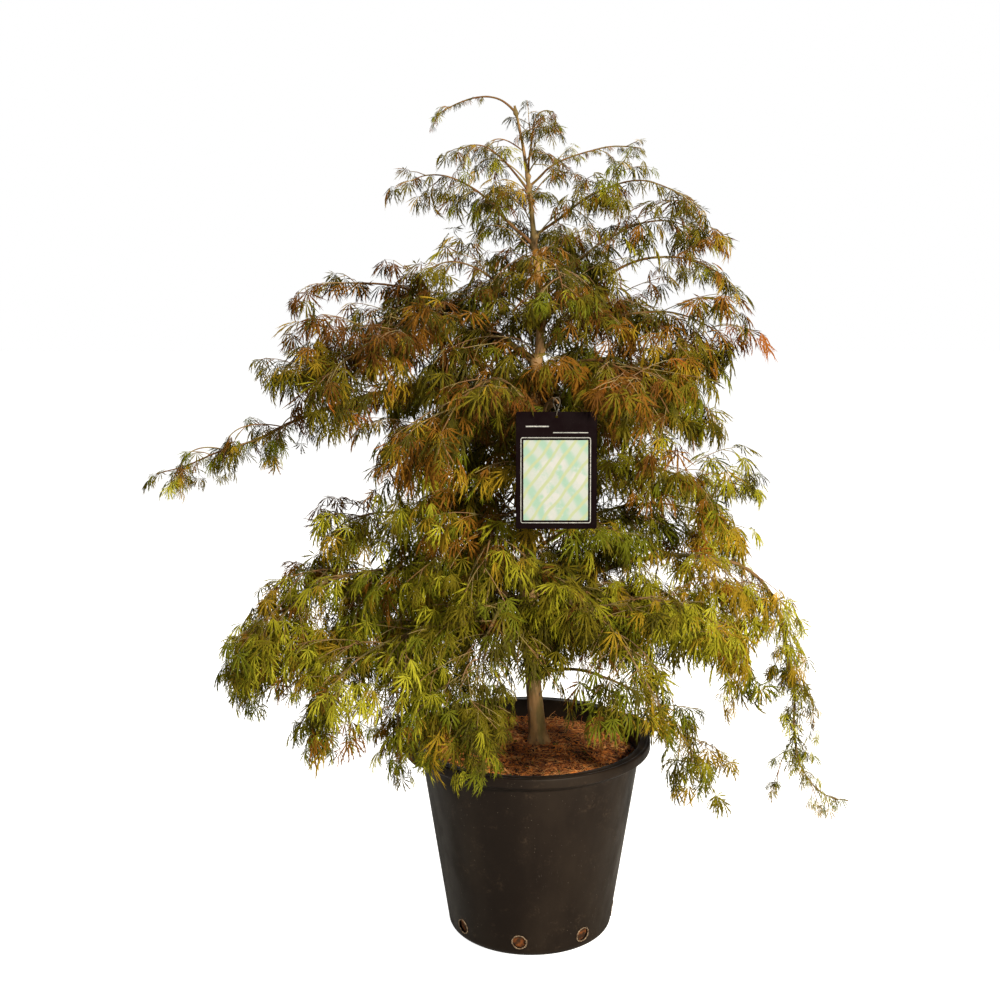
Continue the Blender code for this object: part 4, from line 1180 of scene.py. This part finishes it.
def makeScatterTree(name, shapes, finishes):
    # a shape on every point, with the turn, size and tint that the point holds
    tree, source, result = newTree(name, {"Size": "Float"})
    pick = {"Collection": shapes, "Separate Children": True, "Reset Children": True}
    kinds = node(tree, "GeometryNodeCollectionInfo", pick)
    place = node(tree, "GeometryNodeInstanceOnPoints", {"Pick Instance": True})
    scale = node(tree, "ShaderNodeMath", operation="MULTIPLY")
    wires(
        tree,
        (source, "Geometry", place, "Points"),
        (kinds, "Instances", place, "Instance"),
        (readAttribute(tree, "shape", "INT"), "Attribute", place, "Instance Index"),
        (readAttribute(tree, "turn", "FLOAT_VECTOR"), "Attribute", place, "Rotation"),
        (readAttribute(tree, "size", "FLOAT"), "Attribute", scale, 0),
        (source, "Size", scale, 1),
        (scale, 0, place, "Scale"),
    )
    last = node(tree, "GeometryNodeRealizeInstances")
    wires(tree, (place, "Instances", last, "Geometry"))
    tint = readAttribute(tree, "tint", "INT")
    for index, finish in enumerate(finishes):
        same = node(tree, "FunctionNodeCompare", {"B": index}, data_type="INT", operation="EQUAL")
        dress = node(tree, "GeometryNodeSetMaterial", {"Material": finish})
        wires(tree, (tint, "Attribute", same, "A"), (same, "Result", dress, "Selection"))
        wires(tree, (last, "Geometry", dress, "Geometry"))
        last = dress
    wires(tree, (last, "Geometry", result, "Geometry"))
    return tree


def makeTubeTree():
    # a tube round every line, as thick as its points say
    tree, source, result = newTree("tubes", {"Sides": "Int", "Finish": "Material"})
    lines = node(tree, "GeometryNodeMeshToCurve")
    ring = node(tree, "GeometryNodeCurvePrimitiveCircle", {"Radius": 1.0})
    tube = node(tree, "GeometryNodeCurveToMesh", {"Fill Caps": True})
    solid = node(tree, "GeometryNodeRealizeInstances")
    dress = node(tree, "GeometryNodeSetMaterial")
    wires(
        tree,
        (source, "Geometry", lines, "Mesh"),
        (lines, "Curve", tube, "Curve"),
        (source, "Sides", ring, "Resolution"),
        (ring, "Curve", tube, "Profile Curve"),
        (readAttribute(tree, "thickness", "FLOAT"), "Attribute", tube, "Scale"),
        (tube, "Mesh", solid, "Geometry"),
        (solid, "Geometry", dress, "Geometry"),
        (source, "Finish", dress, "Material"),
        (dress, "Geometry", result, "Geometry"),
    )
    return tree


tubeTree = makeTubeTree()


def makeScatter(name, leaves, tree):
    # leaves are rows of place, forward, face, size, shape and tint
    places, _, _, sizes, shapes, tints = zip(*leaves)
    turns = []
    for _, forward, face, *_ in leaves:
        side = forward.cross(face).normalized()
        turns += Matrix((side, forward, side.cross(forward))).transposed().to_euler()
    thing = meshObject(name, places, [])
    attributes = thing.data.attributes
    attributes.new("turn", "FLOAT_VECTOR", "POINT").data.foreach_set("vector", turns)
    attributes.new("size", "FLOAT", "POINT").data.foreach_set("value", sizes)
    attributes.new("shape", "INT", "POINT").data.foreach_set("value", shapes)
    attributes.new("tint", "INT", "POINT").data.foreach_set("value", tints)
    runTree(thing, tree, {"Size": 1.0})
    return thing


def makeTubes(name, twigs, sides, finish, slot):
    # twigs are pairs of points and radii
    points, edges, radii = [], [], []
    for path, thickness in twigs:
        first = len(points)
        points += path
        radii += thickness
        edges += [(first + i, first + i + 1) for i in range(len(path) - 1)]
    thing = meshObject(name, points, [], edges=edges)
    thing.data.attributes.new("thickness", "FLOAT", "POINT").data.foreach_set("value", radii)
    runTree(thing, tubeTree, {"Sides": sides, "Finish": finish.material})
    seat(thing, slot)
    return thing


def clusterOf(limb):
    tier = next(name for name, foot in growth["tiers"] if limb.foot > foot)
    if tier == "crown":
        return tier
    turn = limb.azimuth % 360
    side = "right" if turn < 30 or turn > 315 else "back" if turn < 150 else "left" if turn < 225 else "front"
    return f"{tier}_{side}"


def makeFoliage(sprays):
    kinds = []
    for name, values in leafShapes.items():
        kinds.append(makeLeafShape(f"leaf{len(kinds)}_{name}", *values))
    shapes = shelve("leafShapes", kinds)
    leafTree = makeScatterTree("leafSpray", shapes, [makeLeafFinish(*tint) for tint in leafTints.items()])
    wood = makeTwigFinish()
    clusters = {}
    for spray in sprays:
        clusters.setdefault(clusterOf(spray.limb), []).append(spray)
    total = 0
    for cluster, members in clusters.items():
        leaves = [leaf for spray in members for leaf in spray.leaves]
        green = makeScatter("leaves_" + cluster, leaves, leafTree)
        nodes = ["foliage_" + spray.name for spray in members if not spray.inner]
        bronze = members[0].limb.foot > growth["bronzeFrom"]
        seat(green, "leaf_bronze" if bronze else "leaf_green", *nodes)
        twigs = [twig for spray in members for twig in spray.twigs]
        brown = makeTubes("twigs_" + cluster, twigs, 3, wood, "bark")
        faces = len(green.data.polygons), sum(len(p.vertices) - 2 for p in brown.data.polygons)
        total += sum(faces)
        print(f"{cluster}: {len(leaves)} leaves, {len(twigs)} twigs, triangles {faces}")
    discard(shapes)
    print("foliage triangles", total, "leaves", sum(len(spray.leaves) for spray in sprays))


def makeTwigFinish():
    finish = Finish("twigWood", (0.20, 0.095, 0.035), 0.55)
    finish.paint(finish.layer(finish.patches(25.0, 0.4, 0.6), (0.22, 0.17, 0.05)))
    finish.bump(finish.relief(200.0, 900.0, 0.5), 0.3, 0.0003)
    return finish


# the pot

pot = {
    "height": 0.405,
    "sides": 216,
    "rimRadius": 0.250,
    "rimBand": 0.020,
    "rimRoot": 0.036,
    "rimRound": 0.0032,
    "rootRound": 0.004,
    "lipRound": 0.0015,
    "rimGroove": ((0.0065, 0.0), (0.0075, 0.0006), (0.0085, 0.0)),  # in from the rim, and down
    "wallTop": 0.229,
    "wallBase": 0.168,
    "wall": 0.004,
    "wallSteps": (26, 20),  # outside and inside
    "baseEdge": 0.018,
    "footRing": (0.120, 0.128, 0.0028),  # the recess under the base
    "lugReach": 0.016,
    "lugAngle": 20.0,
    "lugHalfWidth": 13.5,
    "lugEase": 4.5,
    "slot": (0.2415, 0.2535, 8.5),  # from, to and half width in degrees
    "drains": 8,
    "drainRadius": 0.0135,
    "drainHeight": 0.035,
    "drainTurn": -98.0,
    "drainSides": 28,
    "sharpFrom": 32,  # degrees between faces
    # what the drill left round the holes
    "burrSeed": 31,
    "burrLoops": 4,
    "burrPoints": 34,
    "burrReach": 0.0030,
    "burrRagged": (-0.15, 0.45),  # shares of its reach
    "burrLift": (0.0003, 0.0009),
    "burrThickness": 0.00055,
    "burrVaries": (0.6, 1.3),
}


def wallRadius(height):
    return pot["wallBase"] + (pot["wallTop"] - pot["wallBase"]) * height / (pot["height"] - pot["rimBand"])


def lugSwell(angle, radius, height):
    if radius < pot["rimRadius"] - 3 * pot["rimRound"] or height < pot["height"] - pot["rimRoot"]:
        return 0.0
    off = (math.degrees(angle) - pot["lugAngle"] + 90.0) % 180.0 - 90.0
    s = min(max((pot["lugHalfWidth"] - abs(off)) / pot["lugEase"], 0.0), 1.0)
    return pot["lugReach"] * s * s * (3 - 2 * s)


def lathe(name, profile, sides, swell=None, lift=None):
    # turns (radius, height) pairs about the upright axis; the ends lie on the axis
    points, faces = [], []
    for radius, height in profile[1:-1]:
        for side in range(sides):
            angle = 2 * math.pi * side / sides
            wide = radius + (swell(angle, radius, height) if swell else 0.0)
            x, y = wide * math.cos(angle), wide * math.sin(angle)
            points.append((x, y, height + (lift(x, y, height) if lift else 0.0)))
    rows = len(profile) - 2
    for row in range(rows - 1):
        for side in range(sides):
            a, b = row * sides + side, row * sides + (side + 1) % sides
            faces.append((a, b, b + sides, a + sides))
    first, last = len(points), len(points) + 1
    top = profile[-1][1]
    points += [(0, 0, profile[0][1]), (0, 0, top + (lift(0, 0, top) if lift else 0.0))]
    for side in range(sides):
        after = (side + 1) % sides
        faces.append((first, after, side))
        faces.append((last, (rows - 1) * sides + side, (rows - 1) * sides + after))
    return meshObject(name, points, faces, smooth=True)


def arc(x, z, radius, start, end, steps):
    turns = [math.radians(start + (end - start) * i / steps) for i in range(steps + 1)]
    return [(x + radius * math.cos(a), z + radius * math.sin(a)) for a in turns]


def potProfile():
    high, edge, rim, wall = pot["height"], pot["baseEdge"], pot["rimRadius"], pot["wall"]
    root, band, bead, nook = high - pot["rimRoot"], high - pot["rimBand"], pot["rimRound"], pot["rootRound"]
    inner, outer, deep = pot["footRing"]
    centre = wallRadius(edge) - edge
    profile = [(0.0, deep), (inner, deep), (outer, 0.0)]
    profile += arc(centre, edge, edge, -90, 0, 9)
    outside, inside = pot["wallSteps"]
    for step in range(1, outside):
        height = edge + (root - edge) * step / outside
        profile.append((wallRadius(height), height))
    profile += arc(wallRadius(root) + nook, root, nook, 180, 120, 3)
    profile += arc(rim - bead, band + bead, bead, -60, 0, 4)
    profile += arc(rim - bead, high - bead, bead, 0, 90, 5)
    profile += [(rim - into, high - down) for into, down in pot["rimGroove"]]
    lip, base, bead = wallRadius(high) - wall, wallRadius(edge) - wall, pot["lipRound"]
    profile += arc(lip + bead, high - bead, bead, 90, 180, 3)
    for step in range(1, inside):
        profile.append((lip + (base - lip) * step / inside, high + (edge - high) * step / inside))
    return profile + [(base, edge), (centre, wall), (0.0, wall)]


def drill(name, outward, middle):
    reach = outward * 6 * pot["wall"]
    sides = pot["drainSides"]
    points = tubePoints([middle - reach, middle + reach], [pot["drainRadius"]] * 2, sides)
    return meshObject(name, points, tubeFaces(2, sides))


def slotCutter(name, middle):
    low, high, half = pot["slot"]
    turns = [math.radians(middle + half * (i / 10 - 1)) for i in range(21)]
    outline = [(low, turn) for turn in reversed(turns)] + [(high, turn) for turn in turns]
    points = []
    for height in (pot["height"] - 2 * pot["rimRoot"], pot["height"] + pot["rimRoot"]):
        for radius, turn in outline:
            points.append(Vector((radius * math.cos(turn), radius * math.sin(turn), height)))
    return meshObject(name, points, tubeFaces(2, len(outline)))


def drainPlaces():
    for hole in range(pot["drains"]):
        outward = bearing(pot["drainTurn"] + 360.0 * hole / pot["drains"])
        yield hole, outward, outward * wallRadius(pot["drainHeight"]) + up * pot["drainHeight"]


def makePotFinish():
    finish = Finish("potPlastic", (0.0076, 0.0045, 0.0031), 0.50, specular=0.115)
    warm = finish.layer(finish.patches(5.0, 0.40, 0.72, (1, 1, 0.45)), (0.018, 0.012, 0.008))
    dust = finish.times(finish.patches(30.0, 0.50, 0.75), finish.patches(190.0, 0.45, 0.62))
    dusty = finish.layer(finish.times(dust, 0.45), (0.060, 0.041, 0.027), warm)
    scuff = finish.times(finish.patches(420.0, 0.62, 0.70, (1, 1, 0.06)), finish.patches(9.0, 0.50, 0.70))
    scuffed = finish.layer(finish.times(scuff, 0.5), (0.10, 0.085, 0.070), dusty)
    dots = finish.times(finish.specks(150.0, 0.16), finish.patches(12.0, 0.45, 0.62))
    finish.paint(finish.layer(dots, (0.16, 0.13, 0.10), scuffed))
    finish.rough(finish.patches(16.0, 0.30, 0.70, (1, 1, 0.5)), 0.38, 0.60)
    finish.bump(finish.relief(24.0, 700.0, 0.35), 0.16, 0.0012)
    return finish.material


def makePot():
    body = lathe("potBody", potProfile(), pot["sides"], lugSwell)
    made = [drill(f"drill{hole}", outward, middle) for hole, outward, middle in drainPlaces()]
    made += [slotCutter(f"slotCutter{lug}", pot["lugAngle"] + 180 * lug) for lug in (0, 1)]
    cutters = shelve("potCutters", made)
    cut = body.modifiers.new("openings", "BOOLEAN")
    cut.operation = "DIFFERENCE"
    cut.operand_type = "COLLECTION"
    cut.collection = cutters
    cut.solver = "EXACT"
    bakeModifiers(body)
    discard(cutters)
    body.data.materials.clear()
    body.data.materials.append(makePotFinish())
    body.data.shade_smooth()
    body.data.set_sharp_from_angle(angle=math.radians(pot["sharpFrom"]))
    seat(body, "pot_plastic", "pot")
    print("pot faces", len(body.data.polygons))


def makeBurrs():
    # the ragged rings that the drill left round the drain holes
    rng = random.Random(pot["burrSeed"])
    count, reach = pot["burrPoints"], pot["burrReach"]
    loops = []
    for _, outward, middle in drainPlaces():
        aside = up.cross(outward).normalized()
        slope = (up + outward * (pot["wallTop"] - pot["wallBase"]) / pot["height"]).normalized()
        for loop in range(pot["burrLoops"]):
            base = pot["drainRadius"] + 0.0002 + reach * loop / pot["burrLoops"] * 0.55
            points = []
            for step in range(count):
                angle = 2 * math.pi * step / count
                ragged = base + rng.uniform(*pot["burrRagged"]) * reach
                lift = pot["burrLift"][0] + rng.uniform(0.0, pot["burrLift"][1])
                around = aside * math.cos(angle) + slope * math.sin(angle)
                # the wall curves away at the sides
                sink = (ragged * math.cos(angle)) ** 2 / (2 * wallRadius(pot["drainHeight"]))
                points.append(middle + around * ragged + outward * (lift - sink))
            radii = [pot["burrThickness"] * rng.uniform(*pot["burrVaries"]) for _ in range(count + 1)]
            loops.append((points + points[:1], radii))
    finish = Finish("drillBurr", (0.30, 0.22, 0.145), 0.7, specular=0.3)
    finish.paint(finish.layer(finish.patches(260.0, 0.42, 0.58), (0.10, 0.065, 0.04)))
    finish.bump(finish.relief(500.0, 1500.0, 0.5), 0.4, 0.0004)
    makeTubes("drainBurrs", loops, 5, finish, "pot_plastic")


# the soil and what lies on it

soil = {
    "edge": 0.366,
    "top": 0.378,
    "flat": 0.055,
    "sides": 120,
    "rings": 44,
    "lump": 0.0032,
    "lumpScale": 26.0,
    "crumb": 0.0012,
    "crumbScale": 95.0,
    "easeIn": 12,  # how soon the lumps start from the wall
    "gap": 0.0003,
    "sharpFrom": 60,  # degrees between faces
    "seed": 12,
    "edgeRoom": 0.010,
    "stemRoom": 0.024,
    "chips": 3400,
    "chipSize": (0.006, 0.019),
    "chipVaries": (0.5, 1.0),
    "chipRise": (-0.15, 0.55),
    "chipLean": 0.7,
    "lift": 0.0006,  # that loose bits keep from the surface
    "fibres": 2300,
    "fibreLift": (0.0008, 0.004),
    "fibreRise": (0.0, 0.5),
    "fibreLength": (0.014, 0.046),
    "fibreSteps": 4,
    "fibreBend": ((-0.5, 0.5), (-0.5, 0.5), (-0.35, 0.15)),
    "fibreThickness": 0.00042,
    "fibreVaries": (0.6, 1.5),
    "fibreTints": ("coirRust", "coirOrange", "coirTan"),
}

# colour and weight
soilTints = {
    "coirRust": ((0.260, 0.085, 0.026), 6),
    "coirOrange": ((0.560, 0.190, 0.042), 5.5),
    "barkBrown": ((0.090, 0.034, 0.014), 5),
    "peatBlack": ((0.020, 0.010, 0.006), 4),
    "coirTan": ((0.580, 0.275, 0.095), 2.0),
    "mossGreen": ((0.075, 0.095, 0.015), 1.2),
}

# name: length, width, thickness and how far its ends bend up
chipShapes = {
    "chip0": (1.0, 0.52, 0.10, 0.05),
    "chip1": (1.1, 0.26, 0.08, 0.14),
    "chip2": (0.8, 0.66, 0.07, 0.20),
}


def soilEdgeRadius(height):
    return wallRadius(height) - pot["wall"] - soil["gap"]


def soilRise(x, y):
    # the dome and its lumps, level where it meets the wall
    rim = soilEdgeRadius(soil["edge"])
    share = min(max((rim - math.hypot(x, y)) / (rim - soil["flat"]), 0.0), 1.0)
    dome = soil["edge"] + (soil["top"] - soil["edge"]) * math.sin(math.pi / 2 * share)
    spot = Vector((x, y, 0.0))
    lumps = soil["lump"] * noise.noise(spot * soil["lumpScale"])
    crumbs = soil["crumb"] * noise.noise(spot * soil["crumbScale"])
    return dome + (lumps + crumbs) * min(1.0, share * soil["easeIn"])


def makeSoilFinish():
    finish = Finish("compost", (0.050, 0.024, 0.012), 0.9, specular=0.2)
    rust = finish.layer(finish.patches(90.0, 0.42, 0.62), (0.25, 0.078, 0.020))
    black = finish.layer(finish.patches(38.0, 0.50, 0.66), (0.018, 0.010, 0.006), rust)
    finish.paint(finish.layer(finish.specks(320.0, 0.3), (0.42, 0.22, 0.09), black))
    finish.rough(finish.patches(80.0, 0.3, 0.7), 0.80, 0.98)
    finish.bump(finish.relief(160.0, 620.0, 0.5), 0.8, 0.002)
    return finish.material


def makeSoil():
    floor, edge = pot["wall"] + soil["gap"], pot["baseEdge"]
    flat = wallRadius(edge) - edge - soil["gap"]
    inner = soilEdgeRadius(edge)
    rim = soilEdgeRadius(soil["edge"])
    profile = [(0.0, floor), (flat, floor), (inner, edge)]
    for ring in range(soil["rings"]):
        profile.append((rim * (1 - ring / soil["rings"]), soil["edge"]))
    profile.append((0.0, soil["edge"]))

    def lift(x, y, height):
        return soilRise(x, y) - height if height >= soil["edge"] else 0.0

    ball = lathe("soilBall", profile, soil["sides"], lift=lift)
    ball.data.set_sharp_from_angle(angle=math.radians(soil["sharpFrom"]))
    ball.data.materials.append(makeSoilFinish())
    seat(ball, "compost", "soil")


def makeChipShape(name, long, wide, thick, curl):
    # a flake of bark or coir, bent up at its ends
    points = []
    for y, share in ((-0.5, 0.45), (-0.15, 1.0), (0.25, 0.85), (0.5, 0.30)):
        rise = curl * (2 * y) ** 2
        points += [(-wide / 2 * share, y * long, rise), (wide / 2 * share, y * long, rise + 0.02)]
        points.append((wide * 0.42 * share, y * long, rise + thick))
        points.append((-wide * 0.46 * share, y * long, rise + thick))
    faces = [(0, 3, 2, 1), (12, 13, 14, 15)]
    for low in (0, 4, 8):
        for side in range(4):
            after = (side + 1) % 4
            faces.append((low + side, low + side + 4, low + after + 4, low + after))
    return meshObject(name, points, [tuple(reversed(face)) for face in faces])


def makeCoverFinish(name, colour):
    finish = Finish(name, colour, 0.85, specular=0.2)
    finish.bump(finish.relief(400.0, 1200.0, 0.5), 0.5, 0.0006)
    finish.rough(finish.patches(150.0, 0.3, 0.7), 0.72, 0.95)
    return finish


def makeSoilCover():
    rng = random.Random(soil["seed"])
    finishes = {name: makeCoverFinish(name, colour) for name, (colour, _) in soilTints.items()}
    weights = [weight for _, weight in soilTints.values()]
    room = soilEdgeRadius(soil["edge"]) - soil["edgeRoom"]
    stem, _ = trunkAt(soil["top"])

    def place():
        while True:
            out, turn = room * math.sqrt(rng.random()), rng.uniform(0, 2 * math.pi)
            x, y = out * math.cos(turn), out * math.sin(turn)
            if math.hypot(x - stem.x, y - stem.y) > soil["stemRoom"]:
                return Vector((x, y, soilRise(x, y)))

    lean = soil["chipLean"]
    chips = []
    for _ in range(soil["chips"]):
        spot = place() + up * soil["lift"]
        forward = bearing(rng.uniform(0, 360), rng.uniform(*soil["chipRise"])).normalized()
        face = up + Vector((rng.uniform(-lean, lean), rng.uniform(-lean, lean), 0.0))
        size = rng.uniform(*soil["chipSize"]) * rng.uniform(*soil["chipVaries"])
        tint = rng.choices(range(len(weights)), weights)[0]
        chips.append((spot, forward, face, size, rng.randrange(len(chipShapes)), tint))
    shapes = shelve("chipShapes", [makeChipShape(name, *values) for name, values in chipShapes.items()])
    tree = makeScatterTree("chipCover", shapes, [finish.material for finish in finishes.values()])
    seat(makeScatter("barkChips", chips, tree), "compost")
    discard(shapes)
    for label in soil["fibreTints"]:
        strands = []
        for _ in range(soil["fibres"] // 3):
            spot = place() + up * rng.uniform(*soil["fibreLift"])
            heading = bearing(rng.uniform(0, 360), rng.uniform(*soil["fibreRise"]))
            length = rng.uniform(*soil["fibreLength"])
            points = []
            for _ in range(soil["fibreSteps"] + 1):
                points.append(spot.copy())
                bend = Vector([rng.uniform(*limits) for limits in soil["fibreBend"]])
                heading = (heading + bend).normalized()
                spot = spot + heading * length / soil["fibreSteps"]
                spot.z = max(spot.z, soilRise(spot.x, spot.y) + soil["lift"])
            if math.hypot(points[-1].x, points[-1].y) < room + 0.004:
                thick = soil["fibreThickness"] * rng.uniform(*soil["fibreVaries"])
                strands.append((points, [thick] * len(points)))
        makeTubes("fibres_" + label, strands, 3, finishes[label], "compost")
    print("soil covered")


# the card and its tie

card = {
    "thickness": 0.0012,
    "tilt": -4.0,  # degrees, its foot swung forward
    "proud": 0.00012,
    "sunk": 0.00005,
    "frame": (-0.0655, 0.0630, -0.2045, -0.0470),  # left, right, foot, head, from the top edge's middle
    "frameLine": 0.0014,
    "frameCorner": 0.004,
    "inset": 0.0052,  # from the frame's outside to the print
    "printCorner": 0.0012,
    "rules": ((-0.0270, -0.056, -0.014, 0.0022), (-0.0385, -0.006, 0.058, 0.0016)),  # height, ends, thickness
}
cardMiddle = Vector(((cardLow.x + cardHigh.x) / 2, cardHigh.y - card["thickness"] / 2, cardHigh.z))
cardTilt = Matrix.Rotation(math.radians(card["tilt"]), 3, "X")


def onCard(x, z, out):
    return cardMiddle + cardTilt @ Vector((x, -card["thickness"] / 2 - out, z))


def roundedOutline(left, right, foot, head, corner, steps=5):
    found = []
    corners = ((right - corner, head - corner, 0), (left + corner, head - corner, 90))
    corners += ((left + corner, foot + corner, 180), (right - corner, foot + corner, 270))
    for x, z, start in corners:
        for step in range(steps + 1):
            angle = math.radians(start + 90 * step / steps)
            found.append((x + corner * math.cos(angle), z + corner * math.sin(angle)))
    return found


def slab(name, outline, finish):
    # a thin closed plate on the card's face
    count = len(outline)
    back = [onCard(x, z, -card["sunk"]) for x, z in outline]
    front = [onCard(x, z, card["proud"]) for x, z in outline]
    faces = [tuple(range(count)), tuple(reversed(range(count, 2 * count)))]
    faces += [(i, i + count, (i + 1) % count + count, (i + 1) % count) for i in range(count)]
    return meshObject(name, back + front, faces, [finish.material])


def hollowSlab(name, outer, inner, finish):
    # the same between two outlines
    count = len(outer)
    points, faces = [], []
    for out in (-card["sunk"], card["proud"]):
        points += [onCard(x, z, out) for x, z in outer + inner]
    for i in range(count):
        j = (i + 1) % count
        faces += [(i, j, count + j, count + i), (2 * count + i, 3 * count + i, 3 * count + j, 2 * count + j)]
        faces += [(i, 2 * count + i, 2 * count + j, j), (count + i, count + j, 3 * count + j, 3 * count + i)]
    return meshObject(name, points, faces, [finish.material])


def makeCard():
    left, right, foot, head = card["frame"]
    line, inset, corner = card["frameLine"], card["inset"], card["frameCorner"]
    black = Finish("cardBlack", (0.0032, 0.0010, 0.0015), 0.45, specular=0.04)
    black.rough(black.patches(28.0, 0.35, 0.65), 0.34, 0.50)
    black.paint(black.layer(black.patches(320.0, 0.64, 0.70), (0.010, 0.007, 0.008)))
    black.bump(black.relief(12.0, 300.0, 0.1), 0.08, 0.002)
    dressSolid("card", black)
    silver = Finish("cardSilver", (0.50, 0.51, 0.50), 0.32, metallic=0.65)
    silver.rough(silver.patches(200.0, 0.3, 0.7), 0.24, 0.42)
    outer = roundedOutline(left, right, foot, head, corner)
    inner = roundedOutline(left + line, right - line, foot + line, head - line, corner - line)
    parts = [hollowSlab("cardFrame", outer, inner, silver)]
    for height, start, end, thick in card["rules"]:
        high, low = height + thick / 2, height - thick / 2
        outline = [(end, high), (start, high), (start, low), (end, low)]
        parts.append(slab(f"cardRule{len(parts) - 1}", outline, silver))
    seat(joinPieces("cardTrim", parts), "card_black")
    outline = roundedOutline(left + inset, right - inset, foot + inset, head - inset, card["printCorner"], 3)
    seat(slab("cardPrint", outline, makePrintFinish()), "card_black")


def makePrintFinish():
    # soft diagonal bands and rounded dots in mint, white and spring green
    finish = Finish("cardPrint", (0.315, 0.345, 0.332), 0.40, specular=0.10)
    finish.rough(finish.patches(60.0, 0.3, 0.7), 0.24, 0.38)
    mint = finish.layer(finish.bands(9.0, 0.10, 1.00, 34.0), (0.215, 0.325, 0.27))
    white = finish.layer(finish.patches(20.0, 0.48, 0.62), (0.355, 0.362, 0.368), mint)
    spring = finish.layer(finish.bands(17.0, 0.62, 1.00, -38.0), (0.29, 0.33, 0.205), white)
    finish.paint(finish.layer(finish.specks(62.0, 0.42, (1, 0.01, 1)), (0.21, 0.325, 0.25), spring))
    return finish


def makeTieFinish():
    finish = Finish("tieCord", (0.10, 0.085, 0.06), 0.75, specular=0.25)
    finish.paint(finish.layer(finish.bands(620.0, 0.35, 0.65, 45.0), (0.045, 0.038, 0.028)))
    finish.bump(finish.relief(900.0, 2600.0, 0.5), 0.4, 0.0003)
    return finish


makePot()
makeBurrs()
makeSoil()
makeSoilCover()
makeCard()
dressSolid("card_tie", makeTieFinish())
print("pot, soil and card made")

sprays = [Spray(name, limb) for name, limb in {**limbs, **innerLimbs()}.items()]
for spray in sprays:
    spray.grow()
makeTrunk()
makeLimbs({spray.name: spray.joints for spray in sprays})
print("wood made")
makeFoliage(sprays)
print("foliage made")
